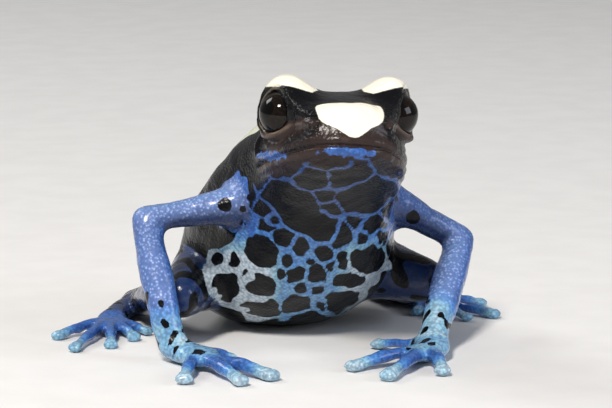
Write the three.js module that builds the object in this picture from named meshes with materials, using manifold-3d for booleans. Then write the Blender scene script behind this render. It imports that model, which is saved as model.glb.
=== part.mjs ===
// A dyeing poison frog, life size, sitting upright on straight forelimbs with its belly on the ground.
// Millimetres, +Z up, the frog faces -Y and its left side is +X. The origin is on the floor, under the
// middle of the whole animal. Every part is one closed solid, cut clear of its neighbours by a thin gap.
import * as THREE from "three";
import { mergeVertices } from "three/addons/utils/BufferGeometryUtils.js";
import Module from "manifold-3d";

const wasm = await Module();
wasm.setup();
const { Manifold, Mesh } = wasm;

// Driving sizes
const GAP = 0.3;
const HEAD_YAW = THREE.MathUtils.degToRad(7);
const HEAD_PITCH = THREE.MathUtils.degToRad(17);
const HEAD_ROLL = THREE.MathUtils.degToRad(2.4);
const LIP_FRONT = new THREE.Vector3(-1.43, -15.5, 23.4);
const NECK_CUT = 12.6;
const MOUTH_CORNER = 11.4;
const MOUTH_TILT = THREE.MathUtils.degToRad(3);
const MOUTH_LINE = [[-3, 0.15], [0, 0.05], [2, -0.25], [4.5, -0.45], [8, -0.5], [11.4, -0.6], [14, -0.95]];
const EYE = { back: 7.1, side: 5.72, up: 4.45, radius: 2.5 };
const EYE_AXIS = { forward: 0.5, side: 0.86, up: 0.12 };
const LID = { ring: 2.62, thick: 0.42, out: 1.0, skin: 0.82 };
const BROW = { back: 7.5, side: 5.1, up: 5.2, long: 4.1, wide: 3.15, high: 3.45 };
const CANTHUS = [
  { back: 6.2, side: 5.3, up: 5.9, thick: 1.3 },
  { back: 3.4, side: 4.35, up: 3.95, thick: 1.1 },
  { back: 1.2, side: 3.55, up: 2.85, thick: 0.85 },
];
const LIP = { up: 0.62, down: 0.6, thick: 0.55, sunk: 0.75, behind: 0.1, tipBehind: 0.05 };
const NOSTRIL = { back: 0.75, side: 3.55, up: 2.3, radius: 0.42, deep: 0.9, turnedForward: 0.6 };
const EARDRUM = { back: 11.1, side: 7.05, up: 1.7, radius: 1.15, deep: 0.3 };

// Colours of the living animal
const BLACK = 0x14151b;
const BLUE = 0x3f67b5;
const PALE_BLUE = 0x7fb0d8;
const EYE_BLACK = 0x0c0908;

const skin = (color) => new THREE.MeshStandardMaterial({ color, roughness: 0.35, metalness: 0 });
const MATERIALS = {
  head: skin(BLACK),
  torso: skin(BLACK),
  limb: skin(BLUE),
  digit: skin(PALE_BLUE),
  eye: new THREE.MeshStandardMaterial({ color: EYE_BLACK, roughness: 0.05, metalness: 0 }),
};

// Head stations, from the tip of the snout back: distance behind the lip's front, half width at the lips,
// height of the crown and depth of the throat from the mouth's plane, and how far the sides lean in.
const HEAD = [
  { back: -0.55, wide: 2.1, top: 3.2, under: -0.75, lean: 0.1 },
  { back: 0.3, wide: 3.75, top: 4.45, under: -1.5, lean: 0.13 },
  { back: 1.9, wide: 5.1, top: 5.0, under: -2.2, lean: 0.2 },
  { back: 4.2, wide: 6.25, top: 5.9, under: -3.0, lean: 0.25 },
  { back: 7.2, wide: 7.05, top: 6.9, under: -4.2, lean: 0.26 },
  { back: 10.5, wide: 7.6, top: 7.1, under: -5.7, lean: 0.2 },
  { back: 14.0, wide: 7.8, top: 6.9, under: -7.6, lean: 0.14 },
  { back: 17.0, wide: 6.4, top: 5.8, under: -7.6, lean: 0.1 },
];
const CROWN_CORNER = 0.58;
const THROAT_CORNER = 0.92;
const SNOUT_END = { ahead: 0.35, up: 1.1 };
const NAPE_END = { behind: 1, up: -1 };

// Trunk stations, from the neck to the vent: the back's and the belly's points in side view, the half
// width, and how far up between belly and back the widest line lies.
const TRUNK = [
  { back: [-5.5, 25.2], belly: [-9.0, 18.0], wide: 5.6, rise: 0.5 },
  { back: [-1.8, 25.9], belly: [-6.8, 14.4], wide: 7.5, rise: 0.5 },
  { back: [3.2, 24.4], belly: [-3.6, 10.4], wide: 8.5, rise: 0.52 },
  { back: [8.3, 21.4], belly: [0.6, 5.2], wide: 10.0, rise: 0.5 },
  { back: [13.0, 17.6], belly: [6.0, 1.3], wide: 11.1, rise: 0.48 },
  { back: [17.4, 13.9], belly: [12.2, -0.35], wide: 10.7, rise: 0.46 },
  { back: [21.2, 10.3], belly: [17.8, 0.15], wide: 8.4, rise: 0.46 },
  { back: [23.9, 7.2], belly: [22.1, 1.7], wide: 5.2, rise: 0.5 },
  { back: [25.2, 5.3], belly: [24.5, 3.1], wide: 2.3, rise: 0.5 },
];
const BACK_CORNER = 0.76;
const BELLY_CORNER = 0.92;
const TRUNK_ENDS = { neck: [-8.6, 22], vent: [25.5, 4.1] };

// Limb joints, x y z, and the radius there. Each side has its own pose.
const ARM = {
  right: { shoulder: [-6.6, 0.9, 15.5], elbow: [-18.3, 2.0, 14.1], wrist: [-17.0, -3.0, 2.3] },
  left: { shoulder: [6.6, 0.9, 15.6], elbow: [16.9, 2.2, 9.9], wrist: [10.2, -7.8, 2.5] },
};
const LEG = {
  right: { hip: [-4.5, 19.0, 6.4], knee: [-14.1, 3.2, 5.4], heel: [-14.2, 21.6, 1.3], ball: [-18.8, 14.2, 1.0] },
  left: { hip: [4.5, 19.0, 6.4], knee: [13.5, 3.4, 5.4], heel: [13.2, 22.4, 1.3], ball: [16.8, 15.2, 1.0] },
};

// Middle of each palm, and the tips of its fingers, first to fourth, x and y on the floor.
const HAND = {
  right: {
    palm: [-15.3, -5.8, 1.1],
    tips: [[-10.2, -5.2], [-9.3, -15.9], [-13.3, -17.2], [-19.0, -14.6]],
  },
  left: {
    palm: [8.8, -10.8, 1.1],
    tips: [[4.7, -3.4], [-1.7, -13.7], [0.6, -19.4], [7.1, -19.0]],
  },
};
const TOES = {
  right: [[-15.7, 9.4], [-18.0, 6.9], [-21.5, 4.0], [-25.9, 3.4], [-26.2, 10.4]],
  left: [[14.7, 10.2], [16.4, 7.3], [19.3, 5.2], [23.0, 5.9], [24.0, 12.6]],
};
const FINGER = { base: 0.88, waist: 0.74, pad: 1.22, padHigh: 0.72, arch: 0.55, around: 10 };
const TOE = { base: 0.74, waist: 0.56, pad: 0.92, padHigh: 0.62, arch: 0.35, around: 8 };
const PAD_SUNK = 0.16;
const WRIST_DROP = 0.9;
const FINGER_START = 1.4;
const TOE_START = 1.2;

const vec = (p) => new THREE.Vector3(p[0], p[1], p[2]);

// The head's own frame: forward out of the snout, side to the frog's left and a little down, up out of
// the crown.
const forward = new THREE.Vector3(
  -Math.sin(HEAD_YAW) * Math.cos(HEAD_PITCH),
  -Math.cos(HEAD_YAW) * Math.cos(HEAD_PITCH),
  Math.sin(HEAD_PITCH),
);
const level = new THREE.Vector3(Math.cos(HEAD_YAW), -Math.sin(HEAD_YAW), 0);
const side = level.applyAxisAngle(forward, -HEAD_ROLL);
const up = new THREE.Vector3().crossVectors(forward, side);

function inHead(back, across, high) {
  return LIP_FRONT.clone()
    .addScaledVector(forward, -back)
    .addScaledVector(side, across)
    .addScaledVector(up, high);
}

function headMatrix(back, across, high) {
  const axes = new THREE.Matrix4().makeBasis(side, forward.clone().negate(), up);
  return axes.setPosition(inHead(back, across, high));
}

// A closed three.js geometry as a solid, turned right side out.
function solidOf(geometry) {
  const bare = geometry.clone();
  bare.deleteAttribute("normal");
  bare.deleteAttribute("uv");
  const merged = mergeVertices(bare, 1e-4);
  const index = merged.index.array;
  const kept = [];
  for (let i = 0; i < index.length; i += 3) {
    const [a, b, c] = [index[i], index[i + 1], index[i + 2]];
    if (a !== b && b !== c && a !== c) kept.push(a, b, c);
  }
  const build = (order) =>
    new Manifold(
      new Mesh({ numProp: 3, vertProperties: merged.attributes.position.array, triVerts: new Uint32Array(order) }),
    );
  const made = build(kept);
  if (made.volume() >= 0) return made;
  for (let i = 0; i < kept.length; i += 3) [kept[i + 1], kept[i + 2]] = [kept[i + 2], kept[i + 1]];
  return build(kept);
}

function geometryOf(solid) {
  const mesh = solid.getMesh();
  const points = new Float32Array(mesh.numVert * 3);
  for (let i = 0; i < mesh.numVert; i++) {
    points.set(mesh.vertProperties.subarray(i * mesh.numProp, i * mesh.numProp + 3), i * 3);
  }
  const geometry = new THREE.BufferGeometry();
  geometry.setAttribute("position", new THREE.BufferAttribute(points, 3));
  geometry.setIndex(new THREE.BufferAttribute(mesh.triVerts, 1));
  geometry.computeVertexNormals();
  return geometry;
}

const largest = (solid) => solid.decompose().reduce((a, b) => (a.volume() > b.volume() ? a : b));
const joined = (solids) => solids.reduce((a, b) => a.add(b));

// The Catmull-Rom curve through evenly spaced numbers, at t from 0 to their count less one.
function through(values, t) {
  const last = values.length - 1;
  const i = Math.min(Math.floor(t), last - 1);
  const f = t - i;
  const at = (k) => values[Math.max(0, Math.min(last, k))];
  const [a, b, c, d] = [at(i - 1), at(i), at(i + 1), at(i + 2)];
  return b + 0.5 * f * (c - a + f * (2 * a - 5 * b + 4 * c - d + f * (3 * (b - c) + d - a)));
}

const signedPower = (x, power) => Math.sign(x) * Math.abs(x) ** power;

// A closed skin over rings. A ring has a centre, vectors to its left, top and bottom, a corner power that
// squares it off below 1, and a lean that draws its top in. Both ends close on a point.
function skinOver(rings, around, nose, tail) {
  const points = [nose];
  for (const ring of rings) {
    for (let j = 0; j < around; j++) {
      const angle = (2 * Math.PI * j) / around;
      const corner = (Math.sin(angle) > 0 ? ring.corner : ring.lowCorner) ?? 1;
      const across = signedPower(Math.cos(angle), corner);
      const high = signedPower(Math.sin(angle), corner);
      const width = across * (1 - (ring.lean ?? 0) * Math.max(high, 0));
      const edge = high > 0 ? ring.top : ring.bottom;
      points.push(ring.centre.clone().addScaledVector(ring.left, width).addScaledVector(edge, Math.abs(high)));
    }
  }
  points.push(tail);
  const faces = [];
  const at = (i, j) => 1 + i * around + (j % around);
  for (let j = 0; j < around; j++) {
    faces.push(0, at(0, j + 1), at(0, j));
    faces.push(points.length - 1, at(rings.length - 1, j), at(rings.length - 1, j + 1));
    for (let i = 0; i < rings.length - 1; i++) {
      faces.push(at(i, j), at(i, j + 1), at(i + 1, j));
      faces.push(at(i, j + 1), at(i + 1, j + 1), at(i + 1, j));
    }
  }
  const geometry = new THREE.BufferGeometry().setFromPoints(points);
  geometry.setIndex(faces);
  return solidOf(geometry);
}

// A limb: round sections along a smooth line through joints, closed by round ends. Each joint has its
// place, its half width and its half height, and the sections stand up along the reference direction.
function limb(joints, { grow = 0, steps = 3, around = 12, reference = new THREE.Vector3(0, 0, 1) } = {}) {
  const column = (read) => joints.map(read);
  const axes = [0, 1, 2].map((k) => column((j) => j.at[k]));
  const place = (t) => new THREE.Vector3(...axes.map((values) => through(values, t)));
  const last = joints.length - 1;
  const NEAR = 0.02;
  const ringAt = (t, shrink, push) => {
    const direction = place(Math.min(t + NEAR, last)).sub(place(Math.max(t - NEAR, 0))).normalize();
    const across = new THREE.Vector3().crossVectors(direction, reference).normalize();
    const upward = new THREE.Vector3().crossVectors(across, direction);
    const wide = through(column((j) => j.wide), t) + grow;
    const high = through(column((j) => j.high ?? j.wide), t) + grow;
    const centre = place(t).addScaledVector(direction, push * Math.min(wide, high));
    return {
      centre,
      left: across.multiplyScalar(wide * shrink),
      top: upward.clone().multiplyScalar(high * shrink),
      bottom: upward.clone().multiplyScalar(-high * shrink),
    };
  };
  const CAP = [0.4, 0.8].map((part) => (part * Math.PI) / 2);
  const rings = [
    ...CAP.map((angle) => ringAt(0, Math.sin(angle), -Math.cos(angle))),
    ...Array.from({ length: last * steps + 1 }, (_, i) => ringAt(i / steps, 1, 0)),
    ...CAP.toReversed().map((angle) => ringAt(last, Math.sin(angle), Math.cos(angle))),
  ];
  return skinOver(rings, around, ringAt(0, 0, -1).centre, ringAt(last, 0, 1).centre);
}

// An ellipsoid in the head's frame: half sizes across, back to front and up.
function headEllipsoid(spot, size, mirror) {
  const ball = new THREE.SphereGeometry(1, 15, 11);
  ball.scale(size[0], size[1], size[2]);
  return solidOf(ball.applyMatrix4(headMatrix(spot.back, spot.side * mirror, spot.up)));
}

// The way that an eye looks, on the side given by mirror, 1 for left and -1 for right.
function eyeDirection(mirror) {
  return new THREE.Vector3()
    .addScaledVector(forward, EYE_AXIS.forward)
    .addScaledVector(side, EYE_AXIS.side * mirror)
    .addScaledVector(up, EYE_AXIS.up)
    .normalize();
}

function eyeball(mirror, grow) {
  const ball = new THREE.SphereGeometry(EYE.radius + grow, 18, 13);
  return solidOf(ball.translate(...inHead(EYE.back, EYE.side * mirror, EYE.up).toArray()));
}

// The raised rim of both lids, a ring round the eye's own axis.
function lidRim(mirror, grow) {
  const ring = new THREE.TorusGeometry(LID.ring, LID.thick + grow, 6, 18);
  const turn = new THREE.Quaternion().setFromUnitVectors(new THREE.Vector3(0, 0, 1), eyeDirection(mirror));
  const spot = inHead(EYE.back, EYE.side * mirror, EYE.up).addScaledVector(eyeDirection(mirror), LID.out);
  return solidOf(ring.applyQuaternion(turn).translate(...spot.toArray()));
}

// The brow and the bulge of skin round the eyeball, open where the eye looks out between the lids.
function orbit(mirror, grow) {
  const centre = inHead(EYE.back, EYE.side * mirror, EYE.up);
  const way = eyeDirection(mirror);
  const DEEP = 3;
  const SIGHT = LID.ring - 0.1;
  const sight = plug(centre.clone().addScaledVector(way, LID.out + DEEP), way, SIGHT, DEEP, SIGHT);
  const bulge = new THREE.SphereGeometry(EYE.radius + LID.skin + grow, 18, 12).translate(...centre.toArray());
  const front = plug(centre.clone().addScaledVector(way, LID.out + DEEP), way, 2 * DEEP, DEEP, 2 * DEEP);
  const brow = headEllipsoid(BROW, [BROW.wide + grow, BROW.long + grow, BROW.high + grow], mirror);
  return joined([brow.subtract(sight), solidOf(bulge).subtract(front), lidRim(mirror, grow)]);
}

// The ridge from the brow to the nostril.
function canthus(mirror, grow) {
  const joints = CANTHUS.map((c) => ({ at: inHead(c.back, c.side * mirror, c.up).toArray(), wide: c.thick }));
  return limb(joints, { grow, around: 10, steps: 2 });
}

// The height of the mouth's line over the mouth's plane, some way behind the lips and to the left.
function mouthHeight(back, across) {
  const k = MOUTH_LINE.findIndex(([end]) => end >= back);
  const [[fromBack, fromHigh], [toBack, toHigh]] = [MOUTH_LINE[k - 1], MOUTH_LINE[k]];
  const t = (back - fromBack) / (toBack - fromBack);
  return fromHigh + (toHigh - fromHigh) * t - across * Math.tan(MOUTH_TILT);
}

// The rounded edge of a jaw, from one corner of the mouth round the snout to the other.
function lip(high, grow) {
  const half = HEAD.filter((station) => station.back <= MOUTH_CORNER);
  const spot = (station, mirror) => {
    const across = (station.wide - LIP.thick * LIP.sunk) * mirror;
    const back = station.back + LIP.behind;
    return { at: inHead(back, across, mouthHeight(back, across) + high).toArray(), wide: LIP.thick };
  };
  const tip = HEAD[0].back + LIP.tipBehind;
  const middle = { at: inHead(tip, 0, mouthHeight(tip, 0) + high).toArray(), wide: LIP.thick };
  const leftSide = half.map((station) => spot(station, 1)).reverse();
  const rightSide = half.map((station) => spot(station, -1));
  return limb([...leftSide, middle, ...rightSide], { grow, around: 7, steps: 2 });
}

// A short round plug along a direction, for a nostril's pit or the eardrum's dish.
function plug(centre, direction, radius, depth, inner = radius * 0.8) {
  const rod = new THREE.CylinderGeometry(radius, inner, depth * 2, 16);
  const turn = new THREE.Quaternion().setFromUnitVectors(new THREE.Vector3(0, 1, 0), direction);
  return solidOf(rod.applyQuaternion(turn).translate(...centre.toArray()));
}

// The whole skull form with brows and lids, before the mouth and neck are cut.
function headForm(grow) {
  const column = (key) => HEAD.map((station) => station[key]);
  const STEPS = 3;
  const rings = Array.from({ length: (HEAD.length - 1) * STEPS + 1 }, (_, i) => {
    const t = i / STEPS;
    const read = (key) => through(column(key), t);
    return {
      centre: inHead(read("back"), 0, 0),
      left: side.clone().multiplyScalar(read("wide") + grow),
      top: up.clone().multiplyScalar(read("top") + grow),
      bottom: up.clone().multiplyScalar(read("under") - grow),
      lean: read("lean"),
      corner: CROWN_CORNER,
      lowCorner: THROAT_CORNER,
    };
  });
  const nose = inHead(HEAD[0].back - SNOUT_END.ahead - grow, 0, SNOUT_END.up);
  const tail = inHead(HEAD.at(-1).back + NAPE_END.behind + grow, 0, NAPE_END.up);
  const skull = skinOver(rings, 28, nose, tail);
  const sides = [1, -1].flatMap((mirror) => [orbit(mirror, grow), canthus(mirror, grow)]);
  return joined([skull, ...sides, lip(LIP.up, grow), lip(-LIP.down, grow)]);
}

function trunkForm(grow) {
  const STEPS = 3;
  const read = (pick, t) => through(TRUNK.map(pick), t);
  const rings = Array.from({ length: (TRUNK.length - 1) * STEPS + 1 }, (_, i) => {
    const t = i / STEPS;
    const back = new THREE.Vector3(0, read((s) => s.back[0], t), read((s) => s.back[1], t));
    const belly = new THREE.Vector3(0, read((s) => s.belly[0], t), read((s) => s.belly[1], t));
    const centre = belly.clone().lerp(back, read((s) => s.rise, t));
    const top = back.clone().sub(centre);
    const bottom = belly.clone().sub(centre);
    return {
      centre,
      left: new THREE.Vector3(read((s) => s.wide, t) + grow, 0, 0),
      top: top.setLength(top.length() + grow),
      bottom: bottom.setLength(bottom.length() + grow),
      corner: BACK_CORNER,
      lowCorner: BELLY_CORNER,
    };
  });
  const neck = new THREE.Vector3(0, TRUNK_ENDS.neck[0] - grow, TRUNK_ENDS.neck[1]);
  const vent = new THREE.Vector3(0, TRUNK_ENDS.vent[0] + grow, TRUNK_ENDS.vent[1]);
  return skinOver(rings, 28, neck, vent);
}

// The band that parts the jaws, a shallow curve from the lips to behind the corner of the mouth.
function mouthCut() {
  const REACH = 22;
  const half = GAP / 2;
  const above = MOUTH_LINE.map(([back, high]) => new THREE.Vector2(back, high + half));
  const below = MOUTH_LINE.map(([back, high]) => new THREE.Vector2(back, high - half));
  const band = new THREE.ExtrudeGeometry(new THREE.Shape([...above, ...below.reverse()]), {
    depth: REACH,
    bevelEnabled: false,
  });
  band.translate(0, 0, -REACH / 2).rotateX(MOUTH_TILT);
  const axes = new THREE.Matrix4().makeBasis(forward.clone().negate(), up, side);
  return solidOf(band.applyMatrix4(axes.setPosition(LIP_FRONT)));
}

// A slab of the gap's thickness across the head's axis, where the head meets the trunk.
function neckCut() {
  const SPAN = 40;
  const slab = new THREE.BoxGeometry(SPAN, GAP, SPAN);
  return solidOf(slab.applyMatrix4(headMatrix(NECK_CUT, 0, 0)));
}

// The head and the lower jaw, with sockets, nostrils and eardrums cut in.
function headParts(body) {
  let form = body;
  for (const mirror of [1, -1]) {
    form = form.subtract(eyeball(mirror, GAP));
    const out = side.clone().multiplyScalar(mirror);
    const nostril = inHead(NOSTRIL.back, NOSTRIL.side * mirror, NOSTRIL.up);
    const nostrilWay = out.clone().addScaledVector(forward, NOSTRIL.turnedForward).normalize();
    form = form.subtract(plug(nostril, nostrilWay, NOSTRIL.radius, NOSTRIL.deep));
    const drum = inHead(EARDRUM.back, EARDRUM.side * mirror, EARDRUM.up);
    form = form.subtract(plug(drum, out, EARDRUM.radius, EARDRUM.deep));
  }
  const pieces = form.subtract(mouthCut()).decompose();
  pieces.sort((a, b) => b.volume() - a.volume());
  const height = (solid) => (solid.boundingBox().max[2] + solid.boundingBox().min[2]) / 2;
  const [first, second] = pieces;
  return height(first) > height(second) ? [first, second] : [second, first];
}

const group = new THREE.Group();
const placed = [];
const FLOOR = { wide: 200, deep: 20 };
const ground = new THREE.BoxGeometry(FLOOR.wide, FLOOR.wide, FLOOR.deep).translate(0, 0, -FLOOR.deep / 2);
const floor = solidOf(ground);

function touches(a, b) {
  const [p, q] = [a.boundingBox(), b.boundingBox()];
  return [0, 1, 2].every((k) => p.min[k] < q.max[k] && q.min[k] < p.max[k]);
}

// Adds one part to the frog, cut clear of the floor and of every part placed before it. The form is a
// function of how far it is grown, and the grown one is what later parts are cut clear of.
function place(name, material, form) {
  let solid = form(0).subtract(floor);
  for (const other of placed) if (touches(other, solid)) solid = solid.subtract(other);
  const mesh = new THREE.Mesh(geometryOf(largest(solid)), material);
  mesh.name = name;
  group.add(mesh);
  placed.push(form(GAP));
}

function addWhole(name, material, solid) {
  const mesh = new THREE.Mesh(geometryOf(largest(solid)), material);
  mesh.name = name;
  group.add(mesh);
}

// Head, jaw, trunk and eyes
const core = joined([headForm(0), trunkForm(0)]).subtract(floor);
const coreGrown = joined([headForm(GAP), trunkForm(GAP)]);
const centreAlong = (solid) => {
  const { min, max } = solid.boundingBox();
  return (min[1] + max[1]) / 2;
};
const [front, rear] = core
  .subtract(neckCut())
  .decompose()
  .sort((a, b) => b.volume() - a.volume())
  .slice(0, 2)
  .sort((a, b) => centreAlong(a) - centreAlong(b));
const [upperHead, lowerJaw] = headParts(front);
addWhole("head", MATERIALS.head, upperHead);
addWhole("lower_jaw", MATERIALS.head, lowerJaw);
addWhole("torso", MATERIALS.torso, rear);
for (const [name, mirror] of [["left", 1], ["right", -1]]) {
  addWhole(`eye_${name}`, MATERIALS.eye, eyeball(mirror, 0));
}
placed.push(coreGrown);

const between = (a, b, t) => vec(a).lerp(vec(b), t).toArray();
const moved = (point, by) => point.map((value, k) => value + by[k]);

// Forelimbs: upper arm and forearm swell with muscle, and the palm spreads to the knuckles.
for (const name of ["right", "left"]) {
  const { shoulder, elbow, wrist } = ARM[name];
  const { palm, tips } = HAND[name];
  const depth = new THREE.Vector3(0, 1, 0);
  const upperArm = [
    { at: shoulder, wide: 2.6 },
    { at: between(shoulder, elbow, 0.35), wide: 2.0 },
    { at: between(shoulder, elbow, 0.7), wide: 1.5 },
    { at: elbow, wide: 1.55 },
  ];
  const forearm = [
    { at: elbow, wide: 1.55 },
    { at: moved(between(elbow, wrist, 0.3), [0, 0.2, 0]), wide: 1.75 },
    { at: between(elbow, wrist, 0.65), wide: 1.85 },
    { at: wrist, wide: 1.7 },
  ];
  place(`upper_arm_${name}`, MATERIALS.limb, (grow) => limb(upperArm, { grow, reference: depth }));
  place(`forearm_${name}`, MATERIALS.limb, (grow) => limb(forearm, { grow, reference: depth }));
  const middle = between([...tips[1], palm[2]], [...tips[2], palm[2]], 0.5);
  const palmJoints = [
    { at: moved(wrist, [0, 0, -WRIST_DROP]), wide: 1.7, high: 1.35 },
    { at: palm, wide: 2.1, high: 1.2 },
    { at: between(palm, middle, 0.2), wide: 2.0, high: 1.0 },
  ];
  place(`palm_${name}`, MATERIALS.limb, (grow) => limb(palmJoints, { grow, steps: 2 }));
  tips.forEach((tip, k) => {
    place(`finger_${k + 1}_${name}`, MATERIALS.digit, (grow) => digit(palm, tip, FINGER, FINGER_START, grow));
  });
}

// A finger or toe: a slim bony ray that arches a little and ends in a wide flat pad on the floor.
function digit(root, tip, size, start, grow) {
  const end = [...tip, size.padHigh - PAD_SUNK];
  const length = vec(root).distanceTo(vec(end));
  const at = (t, lift, wide, high) => ({ at: moved(between(root, end, t), [0, 0, lift]), wide, high });
  const joints = [
    at((start * 0.5) / length, 0, size.base, size.base * 0.9),
    at(0.3, size.arch * 0.5, size.base, size.base * 0.95),
    at(0.52, size.arch * 0.55, size.waist * 1.1, size.waist * 1.1),
    at(0.76, 0.1, size.waist, size.waist),
    at(0.93, -0.03, size.pad, size.padHigh),
  ];
  return limb(joints, { grow, around: size.around, steps: 2 });
}

// Hind limbs: a heavy thigh against the flank, a shank folded back under it, then tarsus and toes.
for (const name of ["right", "left"]) {
  const { hip, knee, heel, ball } = LEG[name];
  const thigh = [
    { at: hip, wide: 3.6, high: 3.9 },
    { at: between(hip, knee, 0.35), wide: 3.9, high: 4.0 },
    { at: between(hip, knee, 0.72), wide: 3.1, high: 3.2 },
    { at: knee, wide: 2.1, high: 2.3 },
  ];
  const shank = [
    { at: knee, wide: 2.0, high: 2.0 },
    { at: between(knee, heel, 0.3), wide: 2.35, high: 2.3 },
    { at: between(knee, heel, 0.7), wide: 1.7, high: 1.7 },
    { at: heel, wide: 1.4, high: 1.4 },
  ];
  const tarsus = [
    { at: heel, wide: 1.35, high: 1.35 },
    { at: between(heel, ball, 0.5), wide: 1.2, high: 1.2 },
    { at: ball, wide: 1.9, high: 1.1 },
  ];
  place(`thigh_${name}`, MATERIALS.limb, (grow) => limb(thigh, { grow, around: 16 }));
  place(`shank_${name}`, MATERIALS.limb, (grow) => limb(shank, { grow, around: 14 }));
  place(`tarsus_${name}`, MATERIALS.limb, (grow) => limb(tarsus, { grow }));
  TOES[name].forEach((tip, k) => {
    place(`toe_${k + 1}_${name}`, MATERIALS.digit, (grow) => digit(ball, tip, TOE, TOE_START, grow));
  });
}

// The origin is moved to the floor under the middle of the animal's box.
const box = new THREE.Box3().setFromObject(group);
const middle = box.getCenter(new THREE.Vector3());
group.position.set(-middle.x, -middle.y, -box.min.z);

export default group;
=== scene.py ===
"""A life-size dyeing poison frog: one moist skin over the whole body, and two wet eyes."""

import logging
import math
from dataclasses import dataclass, field
from enum import Enum
from typing import Any, Sequence

import bmesh
import bpy
import numpy as np
from mathutils import Matrix, Vector


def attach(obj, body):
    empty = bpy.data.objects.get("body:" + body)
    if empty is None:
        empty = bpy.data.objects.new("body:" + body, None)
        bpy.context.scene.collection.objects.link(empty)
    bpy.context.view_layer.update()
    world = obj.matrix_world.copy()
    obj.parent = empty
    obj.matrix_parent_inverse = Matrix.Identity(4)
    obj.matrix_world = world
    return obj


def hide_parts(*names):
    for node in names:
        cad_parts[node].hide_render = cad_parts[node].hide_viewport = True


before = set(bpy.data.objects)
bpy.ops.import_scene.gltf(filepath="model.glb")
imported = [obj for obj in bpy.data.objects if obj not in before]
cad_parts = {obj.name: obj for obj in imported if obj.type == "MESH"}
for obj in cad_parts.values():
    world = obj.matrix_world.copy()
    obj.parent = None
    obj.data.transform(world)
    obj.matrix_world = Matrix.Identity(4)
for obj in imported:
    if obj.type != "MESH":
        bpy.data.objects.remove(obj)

LOG = logging.getLogger("frog")
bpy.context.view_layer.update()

MM = 0.001
ORIGIN = np.array([1.1126, -2.8706, 0.0])
"""From the trunk's own axes, whose middle plane is X = 0, to the frame's origin, in millimetres."""

Array = np.ndarray
Mesh = tuple[Array, Array]
Place = tuple[float, float, float]
Line = tuple[Place, ...]

FLIP_SIDE = np.array([-1, 1, 1])
"""Turns points and directions over the trunk's middle plane."""


# Helpers for shapes

def unit(vectors: Array) -> Array:
    """Scales vectors to length one."""
    return vectors / np.maximum(np.linalg.norm(vectors, axis=-1, keepdims=True), 1e-12)


def smoothstep(low: float, high: float, value: Array) -> Array:
    """Rises from 0 at low to 1 at high as 3t^2 - 2t^3.

    Args:
        low: value where the result is 0.
        high: value where the result is 1; it may be below low for a falling step.
        value: numbers to map.

    Returns:
        Numbers from 0 to 1.
    """
    t = np.clip((value - low) / (high - low), 0.0, 1.0)
    return t * t * (3.0 - 2.0 * t)


def bell(value: Array, width: float) -> Array:
    """A bell curve, exp(-(value/width)^2)."""
    return np.exp(-((value / width) ** 2))


def through(knots: Array, t: Array) -> Array:
    """Catmull-Rom curve through evenly spaced knots.

    Args:
        knots: array of n knots by k numbers.
        t: places along the curve, from 0 to n - 1.

    Returns:
        Array of len(t) by k numbers.
    """
    last = len(knots) - 1
    i = np.minimum(np.floor(t).astype(int), last - 1)
    f = (t - i)[:, None]
    a, b, c, d = (knots[np.clip(i + k, 0, last)] for k in (-1, 0, 1, 2))
    return b + 0.5 * f * (c - a + f * (2 * a - 5 * b + 4 * c - d + f * (3 * (b - c) + d - a)))


def distance(points: Array, place: Sequence[float]) -> Array:
    """How far points lie from one place."""
    return np.linalg.norm(points - np.asarray(place), axis=1)


def soft_least(values: Sequence[Array], rounding: float) -> Array:
    """The least of several signed distances, with the corners between them rounded."""
    return -rounding * np.log(sum(np.exp(-np.clip(v, -9, 9) / rounding) for v in values))


def closed_grid(rings: Array, start: Array, end: Array) -> Mesh:
    """Joins rings of points into one closed surface with a pole at each end.

    Args:
        rings: array of rings by points round by 3.
        start: the pole before the first ring.
        end: the pole after the last ring.

    Returns:
        Points and triangles.
    """
    count, around, _ = rings.shape
    points = np.vstack([rings.reshape(-1, 3), start, end])
    i, j = np.meshgrid(np.arange(count - 1), np.arange(around), indexing="ij")
    k = (j + 1) % around
    a, b, c, d = i * around + j, i * around + k, (i + 1) * around + j, (i + 1) * around + k
    side = np.concatenate([np.stack([a, b, c], -1).reshape(-1, 3), np.stack([b, d, c], -1).reshape(-1, 3)])
    round_ = np.arange(around)
    after = (round_ + 1) % around
    first = np.stack([np.full(around, count * around), after, round_], -1)
    tail = (count - 1) * around
    last = np.stack([np.full(around, count * around + 1), tail + round_, tail + after], -1)
    faces = np.concatenate([side, first, last])
    p, q, r = (points[faces[:, n]] for n in range(3))
    volume = np.einsum("ij,ij->i", p, np.cross(q, r)).sum()
    return points, faces if volume > 0 else faces[:, ::-1]


@dataclass(frozen=True)
class Joint:
    """A place on a limb's line, with the limb's half width and half height there, in millimetres."""

    at: Place
    wide: float
    high: float | None = None


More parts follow.
